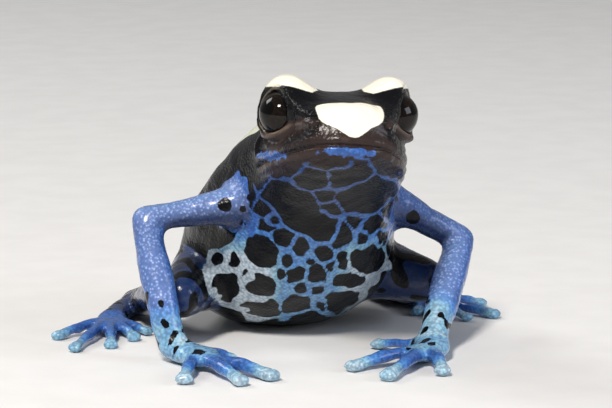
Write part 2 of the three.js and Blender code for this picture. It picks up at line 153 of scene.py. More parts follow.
def tube(joints: Sequence[Joint], around: int = 28, steps: int = 8,
         reference: Place = (0, 0, 1)) -> Mesh:
    """Sweeps an ellipse along the smooth line through joints, with round ends.

    The centre and both half axes are Catmull-Rom curves of the same parameter. The ellipse stands
    across the line, its height along the reference direction.

    Args:
        joints: the line's places and sizes.
        around: points round each section.
        steps: sections between two joints.
        reference: the way that the sections' height points, as nearly as the line lets it.

    Returns:
        Points and triangles of one closed surface.
    """
    last = len(joints) - 1
    places = np.array([j.at for j in joints], float)
    sizes = np.array([(j.wide, j.high or j.wide) for j in joints], float)
    cap = np.linspace(0.12, 1.0, 6)[:-1] * math.pi / 2
    t = np.concatenate([np.zeros(len(cap)), np.linspace(0, last, last * steps + 1), np.full(len(cap), last)])
    shrink = np.ones(len(t))
    push = np.zeros(len(t))
    shrink[:len(cap)], push[:len(cap)] = np.sin(cap), -np.cos(cap)
    shrink[-len(cap):], push[-len(cap):] = np.sin(cap)[::-1], np.cos(cap)[::-1]
    near = 0.03
    way = unit(through(places, np.minimum(t + near, last)) - through(places, np.maximum(t - near, 0)))
    across = unit(np.cross(way, np.array(reference, float)))
    upward = np.cross(across, way)
    size = through(sizes, t)
    least = size.min(axis=1, keepdims=True)
    centre = through(places, t) + way * least * push[:, None]
    angle = np.linspace(0, 2 * math.pi, around, endpoint=False)
    rings = (centre[:, None]
             + np.cos(angle)[None, :, None] * (across * size[:, :1] * shrink[:, None])[:, None]
             + np.sin(angle)[None, :, None] * (upward * size[:, 1:] * shrink[:, None])[:, None])
    return closed_grid(rings, centre[len(cap)] - way[0] * least[0],
                       centre[-len(cap) - 1] + way[-1] * least[-1])


def section_surface(centre: Array, left: Array, top: Array, bottom: Array, corner: float, low_corner: float,
                    lean: Array, start: Array, end: Array, around: int = 72) -> Mesh:
    """Lofts a closed body over sections that are each two half superellipses.

    A section's point at angle a is centre + left |cos a|^c (1 - lean sin a) + top |sin a|^c, with the
    bottom vector and its own power below the middle line.

    Args:
        centre: the sections' centres, n by 3.
        left: vectors to the left edge, n by 3.
        top: vectors to the top, n by 3.
        bottom: vectors to the bottom, n by 3.
        corner: power of the upper half; below 1 squares it off.
        low_corner: power of the lower half.
        lean: how far each section's top draws in, n numbers.
        start: pole before the first section.
        end: pole after the last.
        around: points round each section.

    Returns:
        Points and triangles.
    """
    angle = np.linspace(0, 2 * math.pi, around, endpoint=False)
    power = np.where(np.sin(angle) > 0, corner, low_corner)
    cos = np.sign(np.cos(angle)) * np.abs(np.cos(angle)) ** power
    sin = np.sign(np.sin(angle)) * np.abs(np.sin(angle)) ** power
    width = cos[None] * (1 - lean[:, None] * np.maximum(sin, 0)[None])
    edge = np.where(sin[None, :, None] > 0, top[:, None], bottom[:, None])
    rings = centre[:, None] + width[..., None] * left[:, None] + np.abs(sin)[None, :, None] * edge
    return closed_grid(rings, start, end)


def merge(meshes: Sequence[Mesh]) -> Mesh:
    """Puts several closed surfaces into one list of points and triangles."""
    offsets = np.cumsum([0] + [len(p) for p, _ in meshes[:-1]])
    return np.vstack([p for p, _ in meshes]), np.vstack([f + o for (_, f), o in zip(meshes, offsets)])


def new_object(name: str, points: Array, faces: Array, smooth: bool = True) -> bpy.types.Object:
    """Makes an object of points in millimetres from the trunk's axes.

    Args:
        name: the object's name.
        points: n by 3, in millimetres.
        faces: m by 3 or m by 4 indices.
        smooth: whether the faces shade smoothly.

    Returns:
        The object, linked to the scene, standing at the frame's origin.
    """
    mesh = bpy.data.meshes.new(name)
    mesh.from_pydata(((points + ORIGIN) * MM).tolist(), [], faces.tolist())
    mesh.validate()
    if smooth:
        mesh.polygons.foreach_set("use_smooth", np.ones(len(mesh.polygons), bool))
    made = bpy.data.objects.new(name, mesh)
    bpy.context.scene.collection.objects.link(made)
    return made


def read_points(mesh: bpy.types.Mesh) -> Array:
    """The mesh's points in millimetres from the trunk's axes."""
    flat = np.empty(len(mesh.vertices) * 3, np.float32)
    mesh.vertices.foreach_get("co", flat)
    return flat.reshape(-1, 3).astype(float) / MM - ORIGIN


def write_points(mesh: bpy.types.Mesh, points: Array) -> None:
    """Puts points in millimetres from the trunk's axes back into the mesh."""
    mesh.vertices.foreach_set("co", ((points + ORIGIN) * MM).astype(np.float32).ravel())
    mesh.update()


def read_normals(mesh: bpy.types.Mesh) -> Array:
    """The mesh's outward normals at its points."""
    flat = np.empty(len(mesh.vertices) * 3, np.float32)
    mesh.vertex_normals.foreach_get("vector", flat)
    return flat.reshape(-1, 3).astype(float)


def write_layer(mesh: bpy.types.Mesh, name: str, values: Array) -> None:
    """Keeps a number on each of the mesh's points for its material to read."""
    mesh.attributes.new(name, "FLOAT", "POINT").data.foreach_set("value", values.astype(np.float32))


def relax(points: Array, edges: Array, weight: Array, rounds: int) -> Array:
    """Moves each point towards the mean of its neighbours, weight of the way, for some rounds."""
    count = len(points)
    ends = np.concatenate([edges[:, 0], edges[:, 1]])
    others = np.concatenate([edges[:, 1], edges[:, 0]])
    degree = np.maximum(np.bincount(ends, minlength=count), 1)[:, None]
    moved = points.copy()
    for _ in range(rounds):
        total = np.stack([np.bincount(ends, moved[others, k], count) for k in range(3)], -1)
        moved += weight[:, None] * (total / degree - moved)
    return moved


# The body's own measures, in millimetres from the trunk's axes

class Side(Enum):
    """The animal's own sides; the value is the sign of X."""

    LEFT = 1
    RIGHT = -1


@dataclass(frozen=True)
class HeadFrame:
    """The head's axes: back along the skull, across to its left, and up, from the lips' front."""

    yaw: float = math.radians(7)
    pitch: float = math.radians(17)
    roll: float = math.radians(2.4)
    lips: Place = (-1.43, -15.5, 23.4)

    @property
    def axes(self) -> Array:
        """Rows are back, across and up as unit vectors."""
        forward = np.array([-math.sin(self.yaw) * math.cos(self.pitch),
                            -math.cos(self.yaw) * math.cos(self.pitch), math.sin(self.pitch)])
        level = np.array([math.cos(self.yaw), -math.sin(self.yaw), 0.0])
        across = level * math.cos(self.roll) - np.cross(forward, level) * math.sin(self.roll)
        return np.array([-forward, across, np.cross(forward, across)])

    def place(self, back: Any, across: Any, up: Any) -> Array:
        """Points from head measures."""
        measures = np.stack(np.broadcast_arrays(*(np.asarray(v, float) for v in (back, across, up))), -1)
        return np.array(self.lips) + measures @ self.axes

    def measures(self, points: Array) -> Array:
        """Back, across and up of points, n by 3."""
        return (points - np.array(self.lips)) @ self.axes.T


@dataclass(frozen=True)
class SkullStation:
    """A section of the head: place behind the lips, half width, crown's height, throat's depth, lean."""

    back: float
    wide: float
    top: float
    under: float
    lean: float


BALL_RINGS, BALL_ROUND = 40, 60
LID_ROUND, LID_SECTION = 64, 16
"""Points along and round a ball, and round the eye and round the section of its lids."""


def turned(along: Array, beside: Array, around: int) -> Array:
    """Turns a profile about the first axis.

    Args:
        along: the profile's places on the axis.
        beside: its distances from the axis.
        around: points round each ring.

    Returns:
        Rings of points, len(along) by around by 3.
    """
    turn = np.linspace(0, 2 * math.pi, around, endpoint=False)
    return np.stack([np.repeat(along[:, None], around, 1), beside[:, None] * np.cos(turn)[None],
                     beside[:, None] * np.sin(turn)[None]], -1)


@dataclass
class Head:
    """Skull, brows, orbits, lids, ridges and lips."""

    where: HeadFrame = field(default_factory=HeadFrame)
    stations: tuple[SkullStation, ...] = tuple(SkullStation(*row) for row in (
        (-0.55, 2.1, 3.2, -0.75, 0.10), (0.3, 3.75, 4.45, -1.5, 0.13), (1.9, 5.1, 5.0, -2.2, 0.20),
        (4.2, 6.25, 5.9, -3.0, 0.25), (7.2, 7.05, 6.9, -4.2, 0.26), (10.5, 7.6, 7.1, -5.7, 0.20),
        (14.0, 7.8, 6.9, -7.6, 0.14), (17.0, 6.4, 5.8, -7.6, 0.10),
    ))
    crown_corner: float = 0.58
    throat_corner: float = 0.92
    eye: Place = (7.1, 5.72, 4.45)
    eye_radius: float = 2.5
    gaze: Place = (-0.5, 0.86, 0.12)
    lid_ring: float = 2.62
    lid_out: float = 1.0
    lid_thick: float = 0.42
    lid_skin: float = 0.82
    brow: Place = (7.5, 5.1, 5.2)
    brow_half: Place = (4.1, 3.15, 3.45)
    fold: Line = ((8.6, 7.6, 2.4), (7.07, 7.5, 2.1), (5.95, 6.78, 2.25), (4.4, 5.6, 2.9), (1.9, 4.6, 2.8),
                  (0.7, 3.9, 2.5))
    swelling: Line = ((3.65, 6.17, 0.9), (1.7, 5.1, 1.1), (0.7, 4.2, 1.7))
    canthus: Line = ((6.69, 7.04, 7.1), (3.59, 5.69, 5.49), (1.82, 4.35, 4.0))
    ridge: tuple[tuple[Place, float], ...] = (
        ((6.2, 5.3, 5.9), 1.3), ((3.4, 4.35, 3.95), 1.1), ((1.2, 3.55, 2.85), 0.85))
    nostril: Place = (0.7, 3.5, 2.25)
    eardrum: Place = (11.0, 7.2, 1.7)
    mouth_corner: float = 11.4
    mouth_tilt: float = math.radians(3)
    mouth_line: tuple[tuple[float, float], ...] = (
        (-3, 0.15), (0, 0.05), (2, -0.25), (4.5, -0.45), (8, -0.5), (11.4, -0.6), (14, -0.95))
    lip_thick: float = 0.55
    lip_sunk: float = 0.75
    lip_heights: tuple[float, float] = (0.62, -0.6)

    def on_side(self, place: Place, side: Side) -> Array:
        """A place given as (back, beside, up), on one side of the head."""
        return self.where.place(place[0], place[1] * side.value, place[2])

    def eye_centre(self, side: Side) -> Array:
        """The middle of an eyeball."""
        return self.on_side(self.eye, side)

    def eye_way(self, side: Side) -> Array:
        """The way that an eye looks."""
        back, across, up = self.gaze
        return unit(np.array([back, across * side.value, up]) @ self.where.axes)

    def skull(self) -> Mesh:
        """The head's main form, a loft over the stations."""
        knots = np.array([(s.back, s.wide, s.top, s.under, s.lean) for s in self.stations])
        read = through(knots, np.linspace(0, len(knots) - 1, (len(knots) - 1) * 8 + 1))
        _, across, up = self.where.axes
        return section_surface(
            self.where.place(read[:, 0], 0, 0), across * read[:, 1:2], up * read[:, 2:3], up * read[:, 3:4],
            self.crown_corner, self.throat_corner, read[:, 4],
            self.where.place(knots[0, 0] - 0.35, 0, 1.1), self.where.place(knots[-1, 0] + 1, 0, -1))

    def ball(self, centre: Array, half: Place, axes: Array, clip: float | None = None) -> Mesh:
        """An ellipsoid, its poles on the first axis, cut flat where clip is given.

        Args:
            centre: its middle.
            half: half sizes along the axes.
            axes: rows are unit vectors.
            clip: furthest reach along the first axis.

        Returns:
            Points and triangles.
        """
        polar = np.linspace(0.04, math.pi - 0.04, BALL_RINGS)
        local = np.array(half) * turned(np.cos(polar), np.sin(polar), BALL_ROUND)
        poles = np.array([[half[0], 0, 0], [-half[0], 0, 0]], float)
        if clip is not None:
            local[..., 0] = np.minimum(local[..., 0], clip)
            poles[:, 0] = np.minimum(poles[:, 0], clip)
        return closed_grid(centre + local @ axes, *(centre + poles @ axes))

    def lid_axes(self, side: Side) -> Array:
        """Rows: out along the gaze, towards the snout, and up across the eye."""
        way = self.eye_way(side)
        upward = unit(self.where.axes[2] - way * (self.where.axes[2] @ way))
        return np.array([way, np.cross(upward, way), upward])

    def lids(self, side: Side) -> Mesh:
        """The rim of both lids: a ring of round section that is a little deeper above."""
        turn = np.linspace(0, 2 * math.pi, LID_ROUND, endpoint=False)
        small = np.linspace(0, 2 * math.pi, LID_SECTION, endpoint=False)
        thick = self.lid_thick * (1 + 0.25 * np.maximum(np.sin(turn), 0))
        radius = self.lid_ring + thick[:, None] * np.cos(small)[None]
        local = np.stack([
            self.lid_out + thick[:, None] * np.sin(small)[None],
            radius * np.cos(turn)[:, None], radius * np.sin(turn)[:, None]], -1)
        points = self.eye_centre(side) + local.reshape(-1, 3) @ self.lid_axes(side)
        i, j = (v.ravel() for v in np.meshgrid(np.arange(LID_ROUND), np.arange(LID_SECTION), indexing="ij"))
        after = (i + 1) % LID_ROUND
        a, b, c, d = (k * LID_SECTION + m % LID_SECTION for k in (i, after) for m in (j, j + 1))
        return points, np.concatenate([np.stack([a, c, b], -1), np.stack([b, c, d], -1)])

    def ridges(self) -> list[Mesh]:
        """The canthal ridges from brow to nostril."""
        return [tube([Joint(tuple(self.on_side(place, side)), half) for place, half in self.ridge])
                for side in Side]

    def lips(self) -> list[Mesh]:
        """The rounded edges of both jaws, from corner to corner round the snout."""
        sunk = self.lip_thick * self.lip_sunk
        half = [s for s in self.stations if s.back <= self.mouth_corner]
        line = [(s.back + 0.1, s.wide - sunk) for s in reversed(half)]
        line += [(self.stations[0].back + 0.05, 0.0)]
        line += [(s.back + 0.1, sunk - s.wide) for s in half]
        made = []
        for high in self.lip_heights:
            spots = [self.where.place(b, a, float(self.mouth_height(b, a)) + high) for b, a in line]
            made.append(tube([Joint(tuple(spot), self.lip_thick) for spot in spots], around=16))
        return made

    def meshes(self) -> list[Mesh]:
        """Every closed surface whose union is the head."""
        made = [self.skull(), *self.ridges(), *self.lips()]
        orbit = (self.eye_radius + self.lid_skin,) * 3
        for side in Side:
            made.append(self.ball(self.eye_centre(side), orbit, self.lid_axes(side), self.lid_out))
            brow = self.ball(self.on_side(self.brow, side), self.brow_half, self.where.axes)
            made.append((self.open_sight(brow[0], side), brow[1]))
            made.append(self.lids(side))
        return made

    def about_eye(self, points: Array, side: Side) -> tuple[Array, Array]:
        """Points on an eye's own axes, and how far they lie from the line of its gaze."""
        local = (points - self.eye_centre(side)) @ self.lid_axes(side).T
        return local, np.hypot(local[:, 1], local[:, 2])

    def open_sight(self, points: Array, side: Side) -> Array:
        """Pulls the brow's points back out of the eye's line of sight, onto the lids' plane."""
        local, ring = self.about_eye(points, side)
        local[(ring < self.lid_ring) & (local[:, 0] > self.lid_out), 0] = self.lid_out - 0.2
        return self.eye_centre(side) + local @ self.lid_axes(side)

    def from_line(self, points: Array, line: Sequence[Place]) -> Array:
        """How far points lie from a line drawn on both sides of the head as (back, beside, up)."""
        measures = self.where.measures(points)
        measures[:, 1] = np.abs(measures[:, 1])
        return near_line(measures, [Joint(place, 0.0) for place in line]).gap

    def mouth_height(self, back: Any, across: Any) -> Array:
        """How high the mouth's line runs, behind the lips' front and to the animal's left."""
        line = np.array(self.mouth_line)
        return np.interp(back, line[:, 0], line[:, 1]) - np.asarray(across) * math.tan(self.mouth_tilt)


@dataclass(frozen=True)
class TrunkStation:
    """A section of the trunk: the back's and belly's Y and Z, half width, and the widest line's rise."""

    back: tuple[float, float]
    belly: tuple[float, float]
    wide: float
    rise: float


@dataclass
class Trunk:
    """The trunk from neck to vent."""

    stations: tuple[TrunkStation, ...] = tuple(TrunkStation(*row) for row in (
        ((-5.5, 25.2), (-9.0, 18.0), 5.6, 0.5), ((-1.8, 25.9), (-6.8, 14.4), 7.5, 0.5),
        ((3.2, 24.4), (-3.6, 10.4), 8.5, 0.52), ((8.3, 21.4), (0.6, 5.2), 10.0, 0.5),
        ((13.0, 17.6), (6.0, 1.3), 11.1, 0.48), ((17.4, 13.9), (12.2, -0.35), 10.7, 0.46),
        ((21.2, 10.3), (17.8, 0.15), 8.4, 0.46), ((23.9, 7.2), (22.1, 1.7), 5.2, 0.5),
        ((25.2, 5.3), (24.5, 3.1), 2.3, 0.5),
    ))
    back_corner: float = 0.76
    belly_corner: float = 0.92
    neck_end: Place = (0, -8.6, 22.0)
    vent_end: Place = (0, 25.5, 4.1)

    def meshes(self) -> list[Mesh]:
        """The trunk as a loft over its stations."""
        knots = np.array([(*s.back, *s.belly, s.wide, s.rise) for s in self.stations])
        read = through(knots, np.linspace(0, len(knots) - 1, (len(knots) - 1) * 10 + 1))
        zero = np.zeros(len(read))
        back = np.stack([zero, read[:, 0], read[:, 1]], -1)
        belly = np.stack([zero, read[:, 2], read[:, 3]], -1)
        centre = belly + (back - belly) * read[:, 5:6]
        left = np.stack([read[:, 4], zero, zero], -1)
        return [section_surface(centre, left, back - centre, belly - centre, self.back_corner,
                                self.belly_corner, zero, np.array(self.neck_end), np.array(self.vent_end))]


def between(a: Place, b: Place, t: float, lift: Place = (0, 0, 0)) -> Place:
    """The point t of the way from a to b, moved by lift."""
    return tuple((np.array(a) * (1 - t) + np.array(b) * t + np.array(lift)).tolist())


@dataclass(frozen=True)
class DigitSizes:
    """Half widths along a finger or toe, in millimetres."""

    base: float
    waist: float
    pad: float
    pad_high: float
    arch: float
    start: float


FINGER = DigitSizes(base=0.88, waist=0.74, pad=1.22, pad_high=0.72, arch=0.55, start=1.4)
TOE = DigitSizes(base=0.74, waist=0.56, pad=0.92, pad_high=0.62, arch=0.35, start=1.2)
PAD_SUNK = 0.16


@dataclass(frozen=True)
class Digit:
    """A slim jointed ray that ends in a wide flat pad on the floor."""

    root: Place
    tip: tuple[float, float]
    sizes: DigitSizes

    @property
    def end(self) -> Place:
        """The middle of the tip."""
        return (*self.tip, self.sizes.pad_high - PAD_SUNK)

    def line(self) -> list[Joint]:
        """The ray's joints, knuckles a little thicker than the shafts between them."""
        s, root, end = self.sizes, self.root, self.end
        length = float(np.linalg.norm(np.array(end) - np.array(root)))
        return [
            Joint(between(root, end, s.start * 0.5 / length), s.base, s.base * 0.9),
            Joint(between(root, end, 0.3, (0, 0, s.arch * 0.5)), s.base, s.base * 0.95),
            Joint(between(root, end, 0.42, (0, 0, s.arch * 0.58)), s.waist * 1.02, s.waist * 1.05),
            Joint(between(root, end, 0.56, (0, 0, s.arch * 0.5)), s.waist * 1.16, s.waist * 1.14),
            Joint(between(root, end, 0.70, (0, 0, 0.16)), s.waist * 0.95, s.waist),
            Joint(between(root, end, 0.80, (0, 0, 0.04)), s.waist * 1.12, s.waist * 0.98),
            Joint(between(root, end, 0.93, (0, 0, -0.03)), s.pad, s.pad_high),
        ]


@dataclass(frozen=True)
class ForeLimb:
    """Upper arm, forearm, palm and four fingers of one side."""

    shoulder: Place
    elbow: Place
    wrist: Place
    palm: Place
    tips: tuple[tuple[float, float], ...]

    def arm(self) -> list[Joint]:
        """Shoulder to elbow."""
        s, e = self.shoulder, self.elbow
        return [Joint(s, 2.6), Joint(between(s, e, 0.35), 2.0), Joint(between(s, e, 0.7), 1.5),
                Joint(e, 1.55)]

    def forearm(self) -> list[Joint]:
        """Elbow to wrist."""
        e, w = self.elbow, self.wrist
        return [Joint(e, 1.55), Joint(between(e, w, 0.3, (0, 0.2, 0)), 1.75),
                Joint(between(e, w, 0.65), 1.85), Joint(w, 1.7)]

    def hand(self) -> list[Joint]:
        """Wrist to knuckles."""
        middle = between((*self.tips[1], self.palm[2]), (*self.tips[2], self.palm[2]), 0.5)
        low = (self.wrist[0], self.wrist[1], self.wrist[2] - 0.9)
        return [Joint(low, 1.7, 1.35), Joint(self.palm, 2.1, 1.2),
                Joint(between(self.palm, middle, 0.2), 2.0, 1.0)]

    def digits(self) -> list[Digit]:
        """The fingers, first to fourth."""
        return [Digit(self.palm, tip, FINGER) for tip in self.tips]

    def meshes(self) -> list[Mesh]:
        """Every closed surface of this limb."""
        depth = (0, 1, 0)
        return [tube(self.arm(), reference=depth), tube(self.forearm(), reference=depth), tube(self.hand()),
                *(tube(d.line(), around=24) for d in self.digits())]


@dataclass(frozen=True)
class HindLimb:
    """Thigh, shank, tarsus and five toes of one side."""

    hip: Place
    knee: Place
    heel: Place
    ball: Place
    tips: tuple[tuple[float, float], ...]

    def thigh(self) -> list[Joint]:
        """Hip to knee."""
        h, k = self.hip, self.knee
        return [Joint(h, 3.6, 3.9), Joint(between(h, k, 0.35), 3.9, 4.0),
                Joint(between(h, k, 0.72), 3.1, 3.2), Joint(k, 2.1, 2.3)]

    def shank(self) -> list[Joint]:
        """Knee to heel."""
        k, h = self.knee, self.heel
        return [Joint(k, 2.0), Joint(between(k, h, 0.3), 2.35, 2.3), Joint(between(k, h, 0.7), 1.7),
                Joint(h, 1.4)]

    def tarsus(self) -> list[Joint]:
        """Heel to the ball of the foot."""
        return [Joint(self.heel, 1.35), Joint(between(self.heel, self.ball, 0.5), 1.2),
                Joint(self.ball, 1.9, 1.1)]

    def digits(self) -> list[Digit]:
        """The toes, first to fifth."""
        return [Digit(self.ball, tip, TOE) for tip in self.tips]

    def meshes(self) -> list[Mesh]:
        """Every closed surface of this limb."""
        return [tube(self.thigh()), tube(self.shank()), tube(self.tarsus()),
                *(tube(d.line(), around=20) for d in self.digits())]


ARMS = (
    ForeLimb((-6.6, 0.9, 15.5), (-18.3, 2.0, 14.1), (-17.0, -3.0, 2.3), (-15.3, -5.8, 1.1),
             ((-10.2, -5.2), (-9.3, -15.9), (-13.3, -17.2), (-19.0, -14.6))),
    ForeLimb((6.6, 0.9, 15.6), (16.9, 2.2, 9.9), (10.2, -7.8, 2.5), (8.8, -10.8, 1.1),
             ((4.7, -3.4), (-1.7, -13.7), (0.6, -19.4), (7.1, -19.0))),
)
"""Right, then left: shoulder, elbow, wrist, palm and fingertips."""
LEGS = (
    HindLimb((-4.5, 19.0, 6.4), (-14.1, 3.2, 5.4), (-14.2, 21.6, 1.3), (-18.8, 14.2, 1.0),
             ((-15.7, 9.4), (-18.0, 6.9), (-21.5, 4.0), (-25.9, 3.4), (-26.2, 10.4))),
    HindLimb((4.5, 19.0, 6.4), (13.5, 3.4, 5.4), (13.2, 22.4, 1.3), (16.8, 15.2, 1.0),
             ((14.7, 10.2), (16.4, 7.3), (19.3, 5.2), (23.0, 5.9), (24.0, 12.6))),
)
"""Right, then left: hip, knee, heel, ball of the foot and tips of the toes."""
DIGITS = tuple(digit for limb in (*ARMS, *LEGS) for digit in limb.digits())


# The markings

@dataclass(frozen=True)
class ViewPlane:
    """A plane before the animal, three quarters from its right front, that lays out the belly's pattern.

    A point on the skin is carried to the plane along the line to the eye point, so a spot drawn on the
    plane keeps its outline as seen from there. Sizes are millimetres at the snout's distance.
    """

    right: Place = (0.951, -0.309, 0.0)
    up: Place = (0.054, 0.165, 0.985)
    way: Place = (0.304, 0.937, -0.174)
    centre: tuple[float, float] = (-1.4, 14.7)
    depth: float = -19.2
    distance: float = 350.0

    @property
    def axes(self) -> Array:
        """Rows are right, up and the way that the plane is looked through."""
        return np.array([self.right, self.up, self.way])

    @property
    def eye_point(self) -> Array:
        """Where the lines meet."""
        return np.array([*self.centre, self.depth - self.distance]) @ self.axes

    def lay(self, points: Array) -> Array:
        """Across and up of points on the plane, n by 2."""
        ray = (points - self.eye_point) @ self.axes.T
        return ray[:, :2] * self.distance / ray[:, 2:]

    def facing(self, normals: Array) -> Array:
        """How squarely the skin faces the plane, from -1 to 1."""
        return normals @ -np.array(self.way)


@dataclass(frozen=True)
class Spot:
    """A dark spot on the pattern plane: middle, half length, half height and turn in degrees.

    Spots with the same blob name run together into one.
    """

    across: float
    up: float
    half: float
    high: float
    turn: float = 0.0
    blob: str = ""

    def distance(self, plane: Array) -> Array:
        """Roughly how far points lie outside the spot's edge; negative inside."""
        c, s = math.cos(math.radians(self.turn)), math.sin(math.radians(self.turn))
        x, y = plane[:, 0] - self.across, plane[:, 1] - self.up
        along, beside = x * c + y * s, -x * s + y * c
        radial = np.sqrt((along / self.half) ** 2 + (beside / self.high) ** 2)
        slope = np.sqrt((along / self.half**2) ** 2 + (beside / self.high**2) ** 2) / np.maximum(radial, 1e-6)
        return (radial - 1) / np.maximum(slope, 1e-6)


BELLY_SPOTS = (
    Spot(0.35, 2.35, 1.5, 0.85, -15), Spot(4.55, 2.7, 1.85, 1.05, 12), Spot(5.95, 0.86, 2.6, 1.6, 14),
    Spot(7.9, 3.6, 0.9, 0.5, -30), Spot(-2.3, 3.2, 1.5, 0.35, 6), Spot(2.4, 4.2, 1.6, 0.3, 0),
    Spot(-2.1, 0.9, 2.0, 1.2, -25, "throat"), Spot(-0.6, -0.6, 2.2, 1.8, -30, "throat"),
    Spot(1.2, -2.1, 2.2, 1.3, -20, "throat"),
    Spot(-4.4, 2.6, 0.65, 0.6), Spot(-4.9, -0.2, 1.0, 0.4, -30), Spot(-3.9, -2.4, 0.8, 0.45),
    Spot(-2.4, -3.4, 0.85, 0.8), Spot(-0.6, -4.3, 0.7, 0.6), Spot(1.8, -5.1, 0.9, 0.7),
    Spot(-4.4, -4.8, 1.5, 1.7, 20), Spot(1.6, 0.75, 0.8, 0.5), Spot(2.2, -0.5, 1.0, 0.45),
    Spot(3.5, -3.3, 0.7, 1.3, -12), Spot(6.6, -2.0, 1.0, 0.6), Spot(4.9, -1.7, 0.7, 0.4),
    Spot(5.8, -3.7, 0.5, 0.5), Spot(6.2, -5.4, 1.7, 1.3, 35), Spot(-8.8, -5.6, 0.4, 0.7),
    Spot(-7.2, -5.7, 0.5, 0.6), Spot(-7.9, -8.2, 1.2, 1.4, 25), Spot(-4.6, -8.2, 1.4, 1.0, -15),
    Spot(-6.2, -7.1, 0.4, 0.5), Spot(-4.4, -10.5, 1.7, 0.8, -5), Spot(-2.0, -5.7, 0.5, 0.4),
    Spot(-1.0, -7.1, 0.8, 0.7), Spot(1.1, -7.1, 0.8, 0.8), Spot(3.6, -5.5, 0.5, 0.8),
    Spot(-0.5, -8.4, 0.5, 0.4), Spot(1.0, -8.6, 0.5, 0.4), Spot(-0.8, -10.3, 1.2, 1.0),
    Spot(3.6, -9.7, 1.5, 1.0, 10), Spot(4.3, -7.7, 1.4, 0.6, 10), Spot(1.4, -10.2, 0.4, 0.4),
    Spot(-2.5, -6.9, 0.35, 0.3), Spot(2.4, -6.2, 0.3, 0.35), Spot(-5.6, -2.0, 0.4, 0.5),
    Spot(8.6, -0.6, 0.7, 0.8), Spot(7.9, -3.9, 0.5, 1.0, 20), Spot(-3.2, -1.6, 0.35, 0.3),
    Spot(0.6, -5.5, 0.3, 0.3),
)

ARM_SPOTS = (
    Spot(-8.1, -0.1, 0.72, 0.62, -10), Spot(-6.3, -0.6, 0.35, 0.4), Spot(-5.6, 0.5, 0.3, 0.35),
    Spot(10.6, -1.3, 0.75, 0.6, -20), Spot(9.0, 0.4, 0.4, 0.4), Spot(-6.4, -2.1, 0.4, 0.35),
    Spot(-16.0, -9.4, 0.35, 0.6), Spot(-14.6, -10.2, 0.4, 0.45), Spot(11.8, -9.6, 0.35, 0.5),
)

NET_EDGE = (
    (-9.8, -4.7), (-10.5, -7.3), (-8.7, -10.2), (-6.4, -10.8), (-5.9, -11.8), (-2.8, -11.6), (0.7, -10.8),
    (3.0, -11.6), (4.4, -10.5), (5.9, -9.7), (6.3, -8.6), (8.4, -6.3), (7.9, -4.3), (8.6, -2.6), (10.6, 0.4),
    (9.4, 3.2), (8.8, 5.4), (4.4, 6.6), (0.0, 5.6), (-4.4, 4.2), (-5.4, 3.0), (-5.0, 0.6), (-6.2, -1.6),
    (-7.4, -3.8),
)


def edge_distance(plane: Array, corners: Sequence[tuple[float, float]]) -> Array:
    """How far points lie inside a closed outline; negative outside.

    Args:
        plane: points, n by 2.
        corners: the outline's corners in order.

    Returns:
        Signed distances in millimetres.
    """
    shape = np.array(corners)
    best = np.full(len(plane), 1e9)
    inside = np.zeros(len(plane), bool)
    for a, b in zip(shape, np.roll(shape, -1, axis=0)):
        side = b - a
        along = np.clip(((plane - a) @ side) / (side @ side), 0, 1)
        best = np.minimum(best, np.linalg.norm(plane - a - along[:, None] * side, axis=1))
        crosses = (a[1] > plane[:, 1]) != (b[1] > plane[:, 1])
        with np.errstate(divide="ignore", invalid="ignore"):
            x = a[0] + (plane[:, 1] - a[1]) * side[0] / side[1]
        inside ^= crosses & (plane[:, 0] < x)
    return np.where(inside, best, -best)


def wobble(points: Array, size: float, seed: int) -> Array:
    """Smooth random numbers over space, about -1 to 1: a sum of sine waves about size millimetres long."""
    rng = np.random.default_rng(seed)
    ways = unit(rng.normal(size=(9, 3))) * rng.uniform(0.7, 1.5, (9, 1)) * 2 * math.pi / size
    phase = rng.uniform(0, 2 * math.pi, 9)
    return np.sin(points @ ways.T + phase).sum(axis=1) / 3.0


@dataclass(frozen=True)
class Nearest:
    """How far points lie from a limb's line, beyond its thickness, and where along it the nearest is."""

    gap: Array
    along: Array


def near_line(points: Array, joints: Sequence[Joint]) -> Nearest:
    """Finds for each point the nearest place on a limb's line.

    Args:
        points: n by 3.
        joints: the limb's joints.

    Returns:
        Gaps beyond the limb's half width, and places along it from 0 to 1.
    """
    places = np.array([j.at for j in joints], float)
    sizes = np.array([j.wide for j in joints], float)
    lengths = np.linalg.norm(np.diff(places, axis=0), axis=1)
    starts = np.concatenate([[0], np.cumsum(lengths)]) / lengths.sum()
    gap = np.full(len(points), 1e9)
    along = np.zeros(len(points))
    for k in range(len(joints) - 1):
        side = places[k + 1] - places[k]
        t = np.clip(((points - places[k]) @ side) / (side @ side), 0, 1)
        away = distance(points - t[:, None] * side, places[k]) - (sizes[k] * (1 - t) + sizes[k + 1] * t)
        closer = away < gap
        gap = np.where(closer, away, gap)
        along = np.where(closer, starts[k] * (1 - t) + starts[k + 1] * t, along)
    return Nearest(gap, along)


def nearest_of(points: Array, lines: Sequence[Sequence[Joint]]) -> Nearest:
    """The nearest place on any of several lines."""
    found = [near_line(points, line) for line in lines]
    gaps = np.stack([each.gap for each in found])
    along = np.stack([each.along for each in found])
    best = gaps.argmin(axis=0)[None]
    return Nearest(*(np.take_along_axis(values, best, 0)[0] for values in (gaps, along)))


@dataclass(frozen=True)
class Survey:
    """Where each point of the skin lies on the body, in millimetres.

    back, across and up are the head's measures, and under_lip how far below the mouth's line a point
    is. plane is its place on the pattern plane, and facing how squarely the skin faces that plane.
    """

    points: Array
    normals: Array
    back: Array
    across: Array
    up: Array
    under_lip: Array
    plane: Array
    facing: Array
    arm: Nearest
    leg: Nearest
    palm: Nearest
    finger: Nearest
    toe: Nearest

    @property
    def digit_along(self) -> Array:
        """How far along the nearest finger or toe points lie, from 0 to 1."""
        return np.where(self.finger.gap < self.toe.gap, self.finger.along, self.toe.along)


